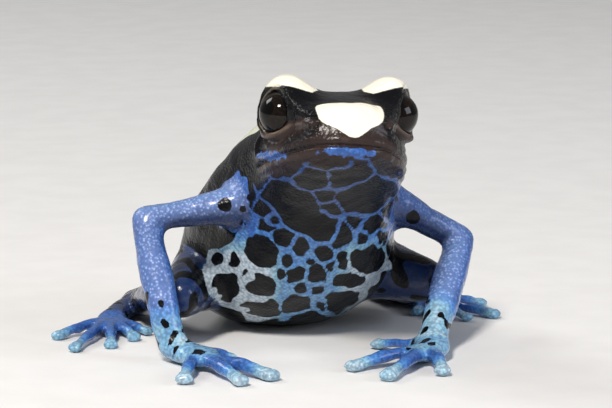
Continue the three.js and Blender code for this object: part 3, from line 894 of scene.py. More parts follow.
# Finishes

def linear(hex_colour: str) -> tuple[float, float, float, float]:
    """Turns an sRGB hex colour into Blender's linear colour."""
    parts = [int(hex_colour[i:i + 2], 16) / 255 for i in (1, 3, 5)]
    return (*(c / 12.92 if c <= 0.04045 else ((c + 0.055) / 1.055) ** 2.4 for c in parts), 1.0)


def add_node(tree: bpy.types.NodeTree, kind: str, settings: dict[str, Any] | None = None,
             **inputs: Any) -> bpy.types.Node:
    """Adds a node with its settings and its inputs, which are values or another node's output.

    Args:
        tree: the material's node tree.
        kind: the node's type name.
        settings: attributes of the node.
        inputs: input names, with _ for a space or a number after a leading i for an index.

    Returns:
        The new node.
    """
    node = tree.nodes.new(kind)
    for name, value in (settings or {}).items():
        setattr(node, name, value)
    for name, value in inputs.items():
        socket = node.inputs[int(name[1:])] if name[1:].isdigit() else node.inputs[name.replace("_", " ")]
        if isinstance(value, bpy.types.NodeSocket):
            tree.links.new(value, socket)
        else:
            socket.default_value = value
    return node


class Shader:
    """A material being written, with short ways to its common sums."""

    def __init__(self, name: str) -> None:
        """Starts a material with an empty tree."""
        self.material = bpy.data.materials.new(name)
        self.material.use_nodes = True
        self.tree = self.material.node_tree
        self.tree.nodes.clear()

    def attribute(self, name: str) -> bpy.types.NodeSocket:
        """A number that the mesh carries at its points."""
        return add_node(self.tree, "ShaderNodeAttribute", {"attribute_name": name}).outputs["Fac"]

    def math(self, operation: str, a: Any, b: Any) -> bpy.types.NodeSocket:
        """One sum of two numbers."""
        return add_node(self.tree, "ShaderNodeMath", {"operation": operation}, i0=a, i1=b).outputs[0]

    def plus(self, a: Any, b: Any) -> bpy.types.NodeSocket:
        """a + b."""
        return self.math("ADD", a, b)

    def times(self, a: Any, b: Any) -> bpy.types.NodeSocket:
        """a times b."""
        return self.math("MULTIPLY", a, b)

    def step(self, value: Any, low: float, high: float) -> bpy.types.NodeSocket:
        """A smooth step from 0 at low to 1 at high."""
        return add_node(self.tree, "ShaderNodeMapRange", {"interpolation_type": "SMOOTHSTEP"},
                        Value=value, From_Min=low, From_Max=high).outputs[0]

    def spread(self, value: Any, low: float, high: float, top: float = 1.0) -> bpy.types.NodeSocket:
        """Maps 0 to top onto low to high."""
        return add_node(self.tree, "ShaderNodeMapRange", Value=value, From_Max=top, To_Min=low,
                        To_Max=high).outputs[0]

    def blend(self, value: Any, base: Any, steps: Sequence[tuple[float, float, str]]) -> Any:
        """Goes from a base colour through others, each reached between two bounds of value."""
        for low, high, colour in steps:
            base = self.mix(self.step(value, low, high), base, linear(colour))
        return base

    def mix(self, factor: Any, a: Any, b: Any) -> bpy.types.NodeSocket:
        """A mix of two colours."""
        return add_node(self.tree, "ShaderNodeMix", {"data_type": "RGBA"}, i0=factor, i6=a, i7=b).outputs[2]

    def noise(self, size_mm: float, detail: float = 3.0) -> bpy.types.NodeSocket:
        """Smooth noise with features about size_mm across, on the object's own axes."""
        place = add_node(self.tree, "ShaderNodeTexCoord").outputs["Object"]
        return add_node(self.tree, "ShaderNodeTexNoise", Vector=place, Scale=1 / (size_mm * MM),
                        Detail=detail).outputs["Fac"]

    def grains(self, size_mm: float) -> bpy.types.NodeSocket:
        """Distance to the nearest grain's middle, for grains about size_mm across."""
        place = add_node(self.tree, "ShaderNodeTexCoord").outputs["Object"]
        return add_node(self.tree, "ShaderNodeTexVoronoi", {"feature": "SMOOTH_F1"}, Vector=place,
                        Scale=1 / (size_mm * MM), Smoothness=0.6).outputs["Distance"]

    def finish(self, **inputs: Any) -> bpy.types.Material:
        """Ends the tree in a Principled surface with these inputs."""
        surface = add_node(self.tree, "ShaderNodeBsdfPrincipled", **inputs)
        add_node(self.tree, "ShaderNodeOutputMaterial", Surface=surface.outputs[0])
        return self.material


@dataclass(frozen=True)
class MoistSkin:
    """Living frog skin: thin, wet with mucus and finely granular, black with blue and cream pigment.

    The wet film gives a clear highlight over a softer one, and the grains break both up on the limbs.
    """

    black: str = "#0b0c10"
    brown: str = "#342a28"
    # Tan of the folds' crests and the lips' edges, partly a painted highlight.
    tan: str = "#6a5a50"
    # Dark blue of the hind limbs and throat; also the painted shade under the arms and between the grains.
    navy_and_shade: str = "#1a2547"
    cobalt: str = "#3a69b6"
    azure: str = "#5490d6"
    cyan: str = "#8ec0da"
    pale: str = "#c9dae6"
    # Pale lavender blue of the painted pearly highlight on the arms.
    painted_sheen_pearl: str = "#aebfe8"
    cream: str = "#f6f0de"
    sage: str = "#d3d8c4"
    rim: str = "#6e665a"
    blotch_mm: float = 1.1
    speckle_mm: float = 0.28
    grain_mm: float = 0.34
    fine_mm: float = 0.3
    relief_mm: float = 0.16

    def material(self) -> bpy.types.Material:
        """The one material of the whole skin.

        Blotches and speckles fray the markings' edges. Painted shade darkens the blue between the grains'
        tops, and a painted pearly highlight covers the arms' side that faces the key lamp, fullest on the
        grains' tops.
        """
        s = Shader("moist_frog_skin")
        lift = s.math("SUBTRACT", s.noise(self.blotch_mm, 4.0), 0.5)
        speckle = s.times(s.math("SUBTRACT", s.noise(self.speckle_mm, 2.0), 0.5), 0.16)
        grain = s.grains(self.grain_mm)
        mottle = s.times(s.times(lift, s.attribute("mottle")), 4.0)
        blue_mask = s.step(s.plus(s.plus(s.attribute("blue"), mottle), speckle), -0.05, 0.06)
        cream_mask = s.step(s.plus(s.attribute("cream"), s.times(speckle, 0.6)), -0.05, 0.07)

        # Paleness, with painted light from above on the arms' upper sides.
        tone_and_top_light = s.plus(s.attribute("pale"), s.times(lift, 0.35))
        blue = s.blend(tone_and_top_light, linear(self.cobalt), (
            (0.15, 0.45, self.azure), (0.40, 0.72, self.cyan), (0.68, 1.0, self.pale)))
        # The hind limbs' and throat's own dark blue, and painted shade on the arms' undersides.
        blue = s.mix(s.attribute("navy_and_shade"), blue, linear(self.navy_and_shade))
        # Painted shade: the blue darkens towards dark blue between the grains' tops.
        blue = s.mix(s.step(grain, 0.25, 0.75), blue, s.mix(0.45, blue, linear(self.navy_and_shade)))
        # Painted highlight: a pearly sheen over the arms' side that faces the key lamp, fullest on the
        # grains' tops.
        for painted_gleam in (0.28, s.step(grain, 0.44, 0.10)):
            blue = s.mix(s.times(painted_gleam, s.attribute("painted_sheen")), blue, linear(self.painted_sheen_pearl))

        warm = s.plus(s.attribute("brown"), s.times(lift, 0.9))
        dark = s.blend(warm, linear(self.black), ((0.1, 0.9, self.brown), (0.9, 1.9, self.tan)))
        light = s.mix(s.attribute("sage"), linear(self.cream), linear(self.sage))
        colour = s.mix(cream_mask, s.mix(blue_mask, dark, blue), light)
        colour = s.mix(s.step(s.attribute("rim"), 0.0, 0.1), colour, linear(self.rim))

        heights = s.times(s.math("SUBTRACT", 0.8, grain), s.attribute("grain"))
        heights = s.plus(heights, s.times(s.noise(self.fine_mm, 2.0), 0.16))
        bump = add_node(s.tree, "ShaderNodeBump", Strength=1.0, Distance=self.relief_mm * MM,
                        Height=heights).outputs[0]
        rough = s.spread(s.plus(s.attribute("grain"), lift), 0.22, 0.33, 1.2)
        return s.finish(Base_Color=colour, Roughness=rough, Normal=bump, IOR=1.36, Specular_IOR_Level=0.3,
                        Coat_Weight=s.spread(blue_mask, 0.05, 0.7), Coat_Roughness=0.18, Coat_IOR=1.4)


@dataclass(frozen=True)
class WetEye:
    """A living eyeball: a clear wet cornea over a near-black iris with a faint brown ring."""

    pupil: str = "#030304"
    iris: str = "#0c0807"
    ring: str = "#1e140e"

    def material(self) -> bpy.types.Material:
        """The material of both eyes."""
        s = Shader("wet_dark_eye")
        away = s.attribute("from_pupil")
        streak = s.noise(0.25, 3.0)
        iris = s.mix(s.step(streak, 0.4, 0.7), linear(self.iris), linear(self.ring))
        iris = s.mix(s.step(away, 1.02, 1.35), s.mix(0.5, linear(self.iris), linear(self.ring)), iris)
        colour = s.mix(s.step(away, 0.94, 1.04), linear(self.pupil), iris)
        colour = s.mix(s.step(away, 1.9, 2.3), colour, linear(self.pupil))
        return s.finish(Base_Color=colour, Roughness=0.03, IOR=1.33)


@dataclass(frozen=True)
class StudioPaper:
    """Matt pale paper under the animal."""

    colour: str = "#e4e4e3"
    shade: str = "#e0e0df"

    def material(self) -> bpy.types.Material:
        """The floor's material: paper fibres give it a very faint unevenness."""
        s = Shader("matt_studio_paper")
        grey = s.mix(s.step(s.noise(6.0, 3.0), 0.3, 0.7), linear(self.colour), linear(self.shade))
        return s.finish(Base_Color=grey, Roughness=0.85)


# Relief

@dataclass(frozen=True)
class Relief:
    """A raised line of the skin, sunken where its height is below zero, in millimetres."""

    height: float
    width: float
    away: float = 0.0

    def over(self, gap: Array) -> Array:
        """The skin's lift at these distances from what the relief follows."""
        return self.height * bell(gap - self.away, self.width)


MOUTH_SLIT = Relief(-0.34, 0.17)
UPPER_LIP = Relief(0.10, 0.35, 0.62)
UPPER_LIP_GROOVE = Relief(-0.10, 0.4, 1.35)
LOWER_LIP_GROOVE = Relief(-0.09, 0.35, -1.25)
FOLD, UNDER_FOLD = Relief(0.17, 0.28), Relief(-0.12, 0.3, 0.75)
CANTHUS = Relief(0.10, 0.35)
SWELLING = Relief(0.16, 0.75)
NOSTRIL, NOSTRIL_RIM = Relief(-0.75, 0.27), Relief(0.14, 0.22, 0.55)
EARDRUM_RIM = Relief(0.08, 0.25, 1.35)
EARDRUM_DEPTH = 0.16
UNDER_LID, LID_BAG = Relief(-0.16, 0.16, 3.35), Relief(0.12, 0.3, 3.9)
SCUTE_SPLIT, SCUTE_END = Relief(-0.10, 0.16), Relief(-0.07, 0.18, -1.35)

NAPE = 13.0
"""How far behind the lips the head's own middle plane and markings give way to the trunk's."""
NET_SIDE, NET_REAR = 11.3, 15.0
"""The belly net's furthest reach to either side and back, from the trunk's axes."""
OUTSIDE, NO_LIMIT = -1.0, 9.0
"""Distances that stand where a marking is absent, and where a limit cuts nothing off."""
NAVY_AND_ARM_SHADE = 0.88
# How far the hind limbs' own blue goes to dark blue, and how deep the painted shade on the arms' undersides
# is.
"""How far the hind limbs and the arms' undersides go to navy."""


# Pieces

@dataclass
class Skin:
    """The one skin over head, trunk and limbs."""

    head: Head = field(default_factory=Head)
    trunk: Trunk = field(default_factory=Trunk)
    voxel: float = 0.30
    plane: ViewPlane = field(default_factory=ViewPlane)
    finish: MoistSkin = field(default_factory=MoistSkin)
    # The way towards the key lamp: arm skin that faces it gets a painted pearly highlight.
    painted_gleam: Place = (-0.35, -0.55, 0.76)
    stripe_ends: tuple[float, float] = (-9.0, 21.8)
    stripe: tuple[tuple[float, float], ...] = (
        (4.5, 0.45), (4.9, 0.5), (6.1, 1.05), (6.9, 0.95), (7.3, 1.1), (6.9, 1.2), (5.2, 0.6))

    def whole(self) -> bpy.types.Object:
        """Joins every form into one closed surface of even small faces."""
        forms = [*self.head.meshes(), *self.trunk.meshes()]
        for limb in (*ARMS, *LEGS):
            forms += limb.meshes()
        rough = new_object("skin_forms", *merge(forms))
        cut = rough.modifiers.new("one_surface", "REMESH")
        cut.mode = "VOXEL"
        cut.voxel_size = self.voxel * MM
        graph = bpy.context.evaluated_depsgraph_get()
        mesh = bpy.data.meshes.new_from_object(rough.evaluated_get(graph))
        old = rough.data
        bpy.data.objects.remove(rough)
        bpy.data.meshes.remove(old)
        mesh.name = "skin"
        made = bpy.data.objects.new("skin", mesh)
        bpy.context.scene.collection.objects.link(made)
        return made

    def creases(self, points: Array) -> Array:
        """How far points lie in a crease between two forms, from 0 to 1."""
        spots = [(leg.ball, 0.8, 1.8) for leg in LEGS]
        for arm in ARMS:
            spots += [(between(arm.shoulder, arm.elbow, 0.22), 1.0, 4.2), (arm.elbow, 0.6, 1.8),
                      (arm.wrist, 0.8, 2.0), (arm.palm, 0.6, 2.2)]
        found = [share * bell(distance(points, place), reach) for place, share, reach in spots]
        groin = smoothstep(13.5, 10.5, np.abs(points[:, 0]))
        found += [bell(near_line(points, leg.thigh()).gap, 1.0) * groin for leg in LEGS]
        back, across, up = self.head.where.measures(points).T
        crown = bell(back - 7, 4.5) * smoothstep(4.6, 5.4, up) * smoothstep(5.2, 4.2, np.abs(across))
        return np.clip(np.maximum.reduce([*found, bell(back - 14.5, 3.4), crown]), 0, 1)

    def off_eyes(self, points: Array, near: float, far: float) -> Array:
        """Rises from 0 near either eyeball's middle to 1 far from both."""
        return np.prod([smoothstep(near, far, distance(points, self.head.eye_centre(side))) for side in Side],
                       axis=0)

    def soften(self, mesh: bpy.types.Mesh) -> None:
        """Rounds the steps of the small faces, and the creases where two forms meet."""
        points = read_points(mesh)
        flat = np.empty(len(mesh.edges) * 2, np.int32)
        mesh.edges.foreach_get("vertices", flat)
        edges = flat.reshape(-1, 2)
        everywhere = np.ones(len(points))
        points = relax(points, edges, 0.5 * everywhere, 2)
        back = self.head.where.measures(points)[:, 0]
        points = relax(points, edges, 0.6 * self.creases(points), 45)
        broad = smoothstep(4.0, 6.0, points[:, 2]) * smoothstep(11.5, 10.0, np.abs(points[:, 0]))
        points = relax(points, edges, 0.5 * broad * self.off_eyes(points, 3.2, 4.2), 12)
        pads = np.max([bell(distance(points, digit.end), 1.3) for digit in DIGITS], axis=0)
        points = relax(points, edges, 0.5 * pads, 6)
        face = 0.5 * smoothstep(12, 9, back) * self.off_eyes(points, 2.9, 3.6)
        points = relax(points, edges, face, 8)
        write_points(mesh, relax(points, edges, 0.35 * everywhere, 2))

    def refine_head(self, mesh: bpy.types.Mesh) -> None:
        """Splits the head's faces in four, so that lids, nostrils and the mouth's line are sharp."""
        measures = self.head.where.measures(read_points(mesh))
        chosen = (measures[:, 0] < 12.6) & (measures[:, 2] > -2.6)
        work = bmesh.new()
        work.from_mesh(mesh)
        work.verts.ensure_lookup_table()
        edges = [e for e in work.edges if chosen[e.verts[0].index] and chosen[e.verts[1].index]]
        bmesh.ops.subdivide_edges(work, edges=edges, cuts=1, use_grid_fill=True)
        bmesh.ops.triangulate(work, faces=[f for f in work.faces if len(f.verts) > 4])
        work.to_mesh(mesh)
        work.free()

    def face_relief(self, points: Array) -> Array:
        """The lift of mouth, lips, cheeks, nostrils, eardrums and the folds under the eyes."""
        head = self.head
        back, across, up = head.where.measures(points).T
        line = up - head.mouth_height(back, across)
        mouth = MOUTH_SLIT.over(line) + UPPER_LIP.over(line) + LOWER_LIP_GROOVE.over(line)
        mouth += UPPER_LIP_GROOVE.over(line) * smoothstep(0.5, 3.0, back)
        lift = mouth * smoothstep(head.mouth_corner + 0.7, head.mouth_corner - 0.3, back)
        lift -= 0.30 * bell(back - 4.1, 1.5) * bell(up - 2.6, 0.9) * smoothstep(3.5, 4.6, np.abs(across))
        fold = head.from_line(points, head.fold)
        lift += FOLD.over(fold) + UNDER_FOLD.over(fold) * (up < 3.4)
        lift += CANTHUS.over(head.from_line(points, head.canthus))
        lift += SWELLING.over(head.from_line(points, head.swelling))
        for side in Side:
            away = distance(points, head.on_side(head.nostril, side))
            lift += NOSTRIL.over(away) + NOSTRIL_RIM.over(away)
            away = distance(points, head.on_side(head.eardrum, side))
            lift += EARDRUM_RIM.over(away) - EARDRUM_DEPTH * smoothstep(1.3, 1.0, away)
            eye, ring = head.about_eye(points, side)
            out, _, high = eye.T
            lift += UNDER_LID.over(ring) * smoothstep(0.2, -0.9, high) * smoothstep(-2.4, -1.0, out)
            lift += LID_BAG.over(ring) * smoothstep(-0.2, -1.4, high) * smoothstep(-2.6, -1.0, out)
        return lift

    def pad_relief(self, points: Array) -> Array:
        """The scutes: a groove along each digit's pad, and one across behind it."""
        lift = np.zeros(len(points))
        for digit in DIGITS:
            end = np.array(digit.end)
            way = unit(end - np.array(digit.root))
            out = (points - end) @ way
            aside = (points - end) @ np.cross(way, [0, 0, 1.0])
            top = smoothstep(0.35, 0.7, points[:, 2]) * (distance(points, end) < 2.2)
            lift += top * (SCUTE_SPLIT.over(aside) * bell(out + 0.2, 0.7) + SCUTE_END.over(out))
        return lift

    def open_sockets(self, points: Array) -> Array:
        """Pushes the skin over each eyeball back behind it."""
        for side in Side:
            local, ring = self.head.about_eye(points, side)
            inside = (np.linalg.norm(local, axis=1) < self.head.eye_radius - 0.1) & (local[:, 0] > 0)
            depth = np.sqrt(np.maximum((self.head.eye_radius + 0.1) ** 2 - ring**2, 0))
            local[inside, 0] = -depth[inside]
            points = self.head.eye_centre(side) + local @ self.head.lid_axes(side)
        return points

    def carve(self, mesh: bpy.types.Mesh) -> None:
        """Cuts the fine relief, and keeps the skin above the floor."""
        points = read_points(mesh)
        lift = self.face_relief(points) + self.pad_relief(points)
        lift += 0.022 * wobble(points, 1.6, 5) + 0.05 * wobble(points, 5.0, 6)
        points = self.open_sockets(points + read_normals(mesh) * lift[:, None])
        points[:, 2] = np.maximum(points[:, 2], 0.0)
        write_points(mesh, points)

    def survey(self, points: Array, normals: Array) -> Survey:
        """Measures where the skin's points lie on the body."""
        back, across, up = self.head.where.measures(points).T
        warp = 0.14 * np.stack([wobble(points, 2.3, 11), wobble(points, 2.3, 12)], -1)
        return Survey(
            points, normals, back, across, up, self.head.mouth_height(back, across) - up,
            self.plane.lay(points) + warp, self.plane.facing(normals),
            arm=nearest_of(points, [[*arm.arm(), *arm.forearm()[1:]] for arm in ARMS]),
            leg=nearest_of(points, [[*leg.thigh(), *leg.shank()[1:], *leg.tarsus()[1:]] for leg in LEGS]),
            palm=nearest_of(points, [arm.hand() for arm in ARMS]),
            finger=nearest_of(points, [digit.line() for arm in ARMS for digit in arm.digits()]),
            toe=nearest_of(points, [digit.line() for leg in LEGS for digit in leg.digits()]))

    def mark(self, mesh: bpy.types.Mesh) -> None:
        """Writes the markings' distances and weights on the mesh's points, for the material to read."""
        at = self.survey(read_points(mesh), read_normals(mesh))
        lip, corner = self.mouth_blue(at)
        net = np.maximum.reduce([self.net(at), np.where(at.back < 4, lip, OUTSIDE), corner])
        up_finger = at.digit_along * (at.finger.gap < 0.5)
        wrist = np.maximum(smoothstep(0.80, 0.96, at.arm.along) * smoothstep(1.2, 0.4, at.arm.gap),
                           smoothstep(0.9, 0.3, at.palm.gap) * smoothstep(0.50, 0.20, up_finger))
        blots = 0.5 - 0.8 * wobble(at.points, 1.7, 61)
        blue = np.maximum(net, self.limb_blue(at))
        blue = np.where(wrist > 0.15, np.minimum(blue, blots + 2.0 * (1 - wrist)), blue)
        on_net = net >= blue
        belly_tone = self.belly_tone(at)
        cream = self.cream(at)

        rough = [self.head.from_line(at.points, line) for line in (self.head.swelling, self.head.canthus)]
        grain = 0.25 + 0.75 * smoothstep(-0.1, 0.3, blue) * smoothstep(0.3, 0.9, 1.4 - belly_tone)
        knuckles = smoothstep(0.6, 0.1, at.finger.gap) * smoothstep(0.7, 0.3, at.digit_along)
        mottle = 0.30 * wrist + 0.12 * knuckles
        # Painted highlight: how squarely arm skin faces the key lamp.
        painted_sheen = 0.9 * smoothstep(0.25, 1.0, at.normals @ self.painted_gleam) * smoothstep(0.8, 0.3, at.arm.gap)
        weights = {
            "blue": blue,
            "cream": cream,
            # Paleness of net and limbs, with painted light on the arms' upper sides.
            "pale": np.where(on_net & ~self.on_digit(at), belly_tone, self.limb_tone_and_top_light(at, wrist)),
            # Own dark blue of hind limbs and throat, plus painted shade under the arms.
            "navy_and_shade": self.navy_and_shade(at, on_net),
            "brown": self.brown(at),
            "grain": np.where(cream > 0, 0.12, np.maximum(grain, bell(np.minimum(*rough), 0.9))),
            "rim": self.lid_rim(at),
            "mottle": np.where((corner > -0.3) | (lip > -0.2), 0.25, mottle),
            # Painted highlight on the arms, none on the belly's net.
            "painted_sheen": np.where(on_net, 0.0, painted_sheen * smoothstep(0.95, 0.8, at.arm.along)),
            "sage": smoothstep(9.5, 13.0, at.back) * smoothstep(14.0, 2.0, at.points[:, 1]),
        }
        for name, values in weights.items():
            write_layer(mesh, name, values)

    def mouth_blue(self, at: Survey) -> tuple[Array, Array]:
        """How far points lie inside the blue patches of the lower lip and of the mouth's right corner."""
        lip = 0.45 * (1 - np.hypot((at.across + 0.6) / 2.7, (at.under_lip - 0.68) / 0.45))
        corner = -Spot(-3.6, 4.8, 1.6, 0.4, -4).distance(at.plane) + 0.12 * wobble(at.points, 1.0, 15)
        return (lip + 0.08 * wobble(at.points, 1.2, 14),
                np.where((at.back < NAPE) & (at.facing > 0), corner, OUTSIDE))

    def limb_blue(self, at: Survey) -> Array:
        """How far points lie inside the blue of arms, hands and feet, and the bands of the hind limbs."""
        arm = np.minimum(0.9 - at.arm.gap + 0.5 * wobble(at.points, 2.6, 21), 9.0 * (at.arm.along - 0.02))
        for spot in ARM_SPOTS:
            arm = np.minimum(arm, np.where(at.facing > 0.035, spot.distance(at.plane), NO_LIMIT))
        arm = np.where(at.points[:, 2] < 20, arm, OUTSIDE)
        hand = 0.8 - np.minimum(at.finger.gap, at.palm.gap)
        bands = np.minimum(0.5 - at.leg.gap, 0.6 * wobble(at.points, 3.0, 23) + 0.1)
        bands = np.minimum(bands, np.where(at.points[:, 1] > 8, np.abs(at.points[:, 0]) - 7.0, NO_LIMIT))
        bands = np.where((at.facing > 0.1) & (edge_distance(at.plane, NET_EDGE) > 0), OUTSIDE, bands)
        return np.maximum.reduce([np.minimum(arm, 1.5), hand, 0.7 - at.toe.gap, np.minimum(bands, 1.2)])

    def belly_tone(self, at: Survey) -> Array:
        """How pale the net is: more so below, and most at both ends of the belly."""
        x, y = at.plane.T
        ends = np.maximum(smoothstep(-2.0, -5.0, x), 0.8 * smoothstep(2.5, 5.0, x))
        return 0.12 + 0.42 * smoothstep(2.0, -8.0, y) + 0.58 * ends * smoothstep(-2.5, -6.0, y)

    def on_digit(self, at: Survey) -> Array:
        """Whether points lie on a finger or a toe."""
        return np.minimum(at.finger.gap, at.toe.gap) < 0.5

    def limb_tone_and_top_light(self, at: Survey, wrist: Array) -> Array:
        """How pale the limbs' blue is: paler at the wrists and on the digits' tips, and on the arms' upper
        sides as painted light from above.
        """
        tip = smoothstep(0.55, 0.95, at.digit_along) * (np.minimum(at.finger.gap, at.toe.gap) < 0.7)
        # Painted light: the arms' upward faces are made paler.
        tone_and_top_light = 0.05 + 0.55 * wrist + 0.22 * smoothstep(0.3, 0.9, at.normals[:, 2]) * (at.arm.gap < 0.8)
        tone_and_top_light = np.where((at.finger.gap < 0.5) & (wrist < 0.5), 0.16 + 0.66 * tip, tone_and_top_light)
        return np.where(at.toe.gap < 0.5, 0.10 + 0.55 * tip, tone_and_top_light)

    def navy_and_shade(self, at: Survey, on_net: Array) -> Array:
        """How far the blue goes to dark blue: the hind limbs' and the throat's own darker blue, and painted
        shade under the arms.
        """
        bands = NAVY_AND_ARM_SHADE * smoothstep(0.9, 0.3, at.leg.gap) * smoothstep(0.1, 1.2, at.toe.gap)
        # Painted shade: the arms' downward faces darken to dark blue.
        under_arm_shade = smoothstep(0.5, -0.4, at.normals[:, 2]) * smoothstep(0.6, 0.2, at.arm.gap)
        under_arm_shade *= NAVY_AND_ARM_SHADE * smoothstep(0.62, 0.35, at.arm.along)
        navy_and_shade = np.maximum(np.where(at.arm.gap < at.leg.gap, 0.0, bands), under_arm_shade)
        throat = 0.5 * smoothstep(-3.0, 1.0, at.plane[:, 1]) * (at.under_lip > 1.2)
        return np.where(on_net, throat, navy_and_shade)

    def brown(self, at: Survey) -> Array:
        """How brown the dark skin is: on cheeks and lips, and most on the folds under the eyes; the folds'
        crests and the lips' edges go on to tan, partly their own paler skin and partly a painted highlight.
        """
        brown = 0.8 * smoothstep(4.4, 1.4, at.up) * smoothstep(-3.2, -0.8, at.up)
        brown *= smoothstep(12.5, 9.0, at.back)
        brown *= 1 - 0.8 * bell(self.head.from_line(at.points, self.head.swelling), 1.1)
        # The folds' crests turn tan: partly their own colour, partly a painted highlight.
        brown += 1.1 * bell(self.head.from_line(at.points, self.head.fold), 0.32)
        # The lips' edges are lighter: partly their own colour, partly a painted highlight.
        lips = bell(at.under_lip + 0.65, 0.3) + bell(at.under_lip - 0.5, 0.3)
        return brown + 0.25 * lips * (at.back < 12)

    def lid_rim(self, at: Survey) -> Array:
        """How far points lie inside the pale edges of the lids."""
        rims = []
        for side in Side:
            eye, ring = self.head.about_eye(at.points, side)
            edge = 0.07 - np.abs(ring - 2.36) - 0.05 * wobble(at.points, 2.5, 51)
            rims.append(np.where(eye[:, 0] > 0.8, edge, OUTSIDE))
        return np.maximum(*rims)

    def net(self, at: Survey) -> Array:
        """The belly's blue net: how far inside a line of it points lie, negative off the lines.

        A line runs where two spots are equally near, so (far spot - near spot)/2 is the distance from
        the line's middle. What faces away from the pattern plane takes the other side's pattern, turned
        over the middle plane.
        """
        points = at.points
        head_turned = self.head.where.place(*(self.head.where.measures(points) * [1, -1, 1]).T)
        other = np.where((at.back < NAPE)[:, None], head_turned, points * FLIP_SIDE)
        plane = np.where((at.facing < 0.12)[:, None], self.plane.lay(other), at.plane)
        blobs: dict[str, Array] = {}
        for k, spot in enumerate(BELLY_SPOTS):
            name = spot.blob or str(k)
            blobs[name] = np.minimum(blobs.get(name, np.inf), spot.distance(plane))
        near, far = np.partition(np.stack(list(blobs.values())), 1, axis=0)[:2]
        thick = np.interp(plane[:, 1], (-9.0, -4.0, 0.5, 4.0), (0.20, 0.18, 0.14, 0.13))
        thick += 0.19 * smoothstep(-2.5, -6.0, plane[:, 0]) * smoothstep(-3.0, -5.0, plane[:, 1])
        thick *= 1 + 0.35 * wobble(points, 2.0, 41)
        filled = np.interp(plane[:, 1], (-8.0, -4.0, 0.0, 3.0), (0.28, 0.26, 0.6, 0.9))
        lines = np.maximum(thick - (far - near) / 2, near - filled)
        edge = edge_distance(plane, NET_EDGE)
        lines = np.minimum(edge, np.maximum(lines, thick * 1.6 - edge))

        seen = (at.facing > 0.1) | (self.plane.facing(at.normals * FLIP_SIDE) > 0.0)
        seen |= at.normals[:, 2] < -0.4
        flank = (np.abs(points[:, 0]) > NET_SIDE) & (points[:, 1] > 2)
        chin = np.where(at.back < 14, at.under_lip - 1.25 + 0.2 * wobble(points, 3.0, 13), NO_LIMIT)
        rear = NET_REAR - points[:, 1] + 0.8 * wobble(points, 3.0, 16)
        return np.minimum.reduce([np.where(seen & ~flank, lines, OUTSIDE), chin, rear])

    def cream(self, at: Survey) -> Array:
        """How far inside the cream patches points lie: snout, brows, and the stripes and bar of the back."""
        points, back, up, beside = at.points, at.back, at.up, np.abs(at.across)
        low = np.interp(beside, (0.0, 0.5, 1.1, 1.9, 2.8, 3.6), (0.95, 1.05, 1.45, 2.05, 2.4, 2.75))
        high = 1.35 + 0.14 * beside**1.75
        snout = soft_least([3.42 - beside, (up - low) * 0.9, high - back], 0.38) + 0.05
        ridge = up - 6.3 - 0.25 * (beside - 3.2)
        front = (back - 4.1 - 1.6 * np.clip(3.4 - beside, 0, 2)) * 0.6
        rear = (10.2 + 1.1 * (beside - 4.0) - back) * 0.7
        brow = np.minimum(np.minimum(ridge, front), soft_least([(beside - 2.4) * 0.8, rear], 0.5))

        start, end = self.stripe_ends
        along = np.clip((points[:, 1] - start) / (end - start), 0, 1) * (len(self.stripe) - 1)
        middle, width = through(np.array(self.stripe), along).T
        stripe = width - np.abs(np.abs(points[:, 0]) - middle) + 0.2 * wobble(points, 5.5, 31)
        stripe = soft_least([stripe + 0.07 * wobble(points, 1.9, 33), end - points[:, 1]], 0.4)
        stripe = np.where((at.normals[:, 2] > 0.0) & (back > 8.0) & (points[:, 2] > 5), stripe, OUTSIDE)
        bar = 1.15 - np.abs(points[:, 1] - 12.5 - 0.12 * points[:, 0]) + 0.45 * wobble(points, 6.0, 32)
        bar = np.where((at.normals[:, 2] > 0.2) & (np.abs(points[:, 0]) < 7.5), bar, OUTSIDE)
        return np.maximum(snout, -soft_least([-brow, -stripe, -bar], 0.45))

    def build(self) -> bpy.types.Object:
        """Makes, refines, carves, marks and dresses the skin."""
        skin = self.whole()
        self.soften(skin.data)
        self.refine_head(skin.data)
        self.carve(skin.data)
        self.mark(skin.data)
        skin.data.polygons.foreach_set("use_smooth", np.ones(len(skin.data.polygons), bool))
        skin.data.materials.append(self.finish.material())
        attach(skin, "root")
        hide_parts(*[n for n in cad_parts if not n.startswith("eye_")])
        return skin


@dataclass
class Eyes:
    """Both eyeballs, each with a bulging cornea."""

    head: Head = field(default_factory=Head)
    bulge: float = 0.06
    bulge_reach: float = 0.7
    clearance: float = 0.06
    pupil_half: tuple[float, float] = (1.15, 0.95)
    finish: WetEye = field(default_factory=WetEye)

    def eyeball(self, side: Side, material: bpy.types.Material) -> bpy.types.Object:
        """An eyeball of radius R (1 + bulge exp(-(polar / bulge_reach)^2)) about the way it looks.

        Args:
            side: which eye.
            material: its finish.

        Returns:
            The eyeball, riding on the body and standing for its node.
        """
        polar = np.linspace(0.03, math.pi - 0.03, 60)
        radius = (self.head.eye_radius - self.clearance) * (1 + self.bulge * bell(polar, self.bulge_reach))
        local = turned(radius * np.cos(polar), radius * np.sin(polar), 96)
        axes, centre = self.head.lid_axes(side), self.head.eye_centre(side)
        poles = np.array([[radius[0], 0, 0], [-radius[-1], 0, 0]])
        points, faces = closed_grid(centre + local @ axes, *(centre + poles @ axes))
        made = new_object(f"eyeball_{side.name.lower()}", points, faces)
        flat, _ = self.head.about_eye(points, side)
        away = np.hypot(flat[:, 1] / self.pupil_half[0], flat[:, 2] / self.pupil_half[1])
        write_layer(made.data, "from_pupil", np.where(flat[:, 0] > 0, away, 3.0))
        made.data.materials.append(material)
        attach(made, "root")
        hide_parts(f"eye_{side.name.lower()}")
        return made

    def build(self) -> list[bpy.types.Object]:
        """Makes both eyes."""
        material = self.finish.material()
        return [self.eyeball(side, material) for side in Side]


@dataclass(frozen=True)
class Lamp:
    """A square soft lamp: its place and side in metres, its power in watts and its colour."""

    name: str
    place: Place
    size: float
    power: float
    colour: str


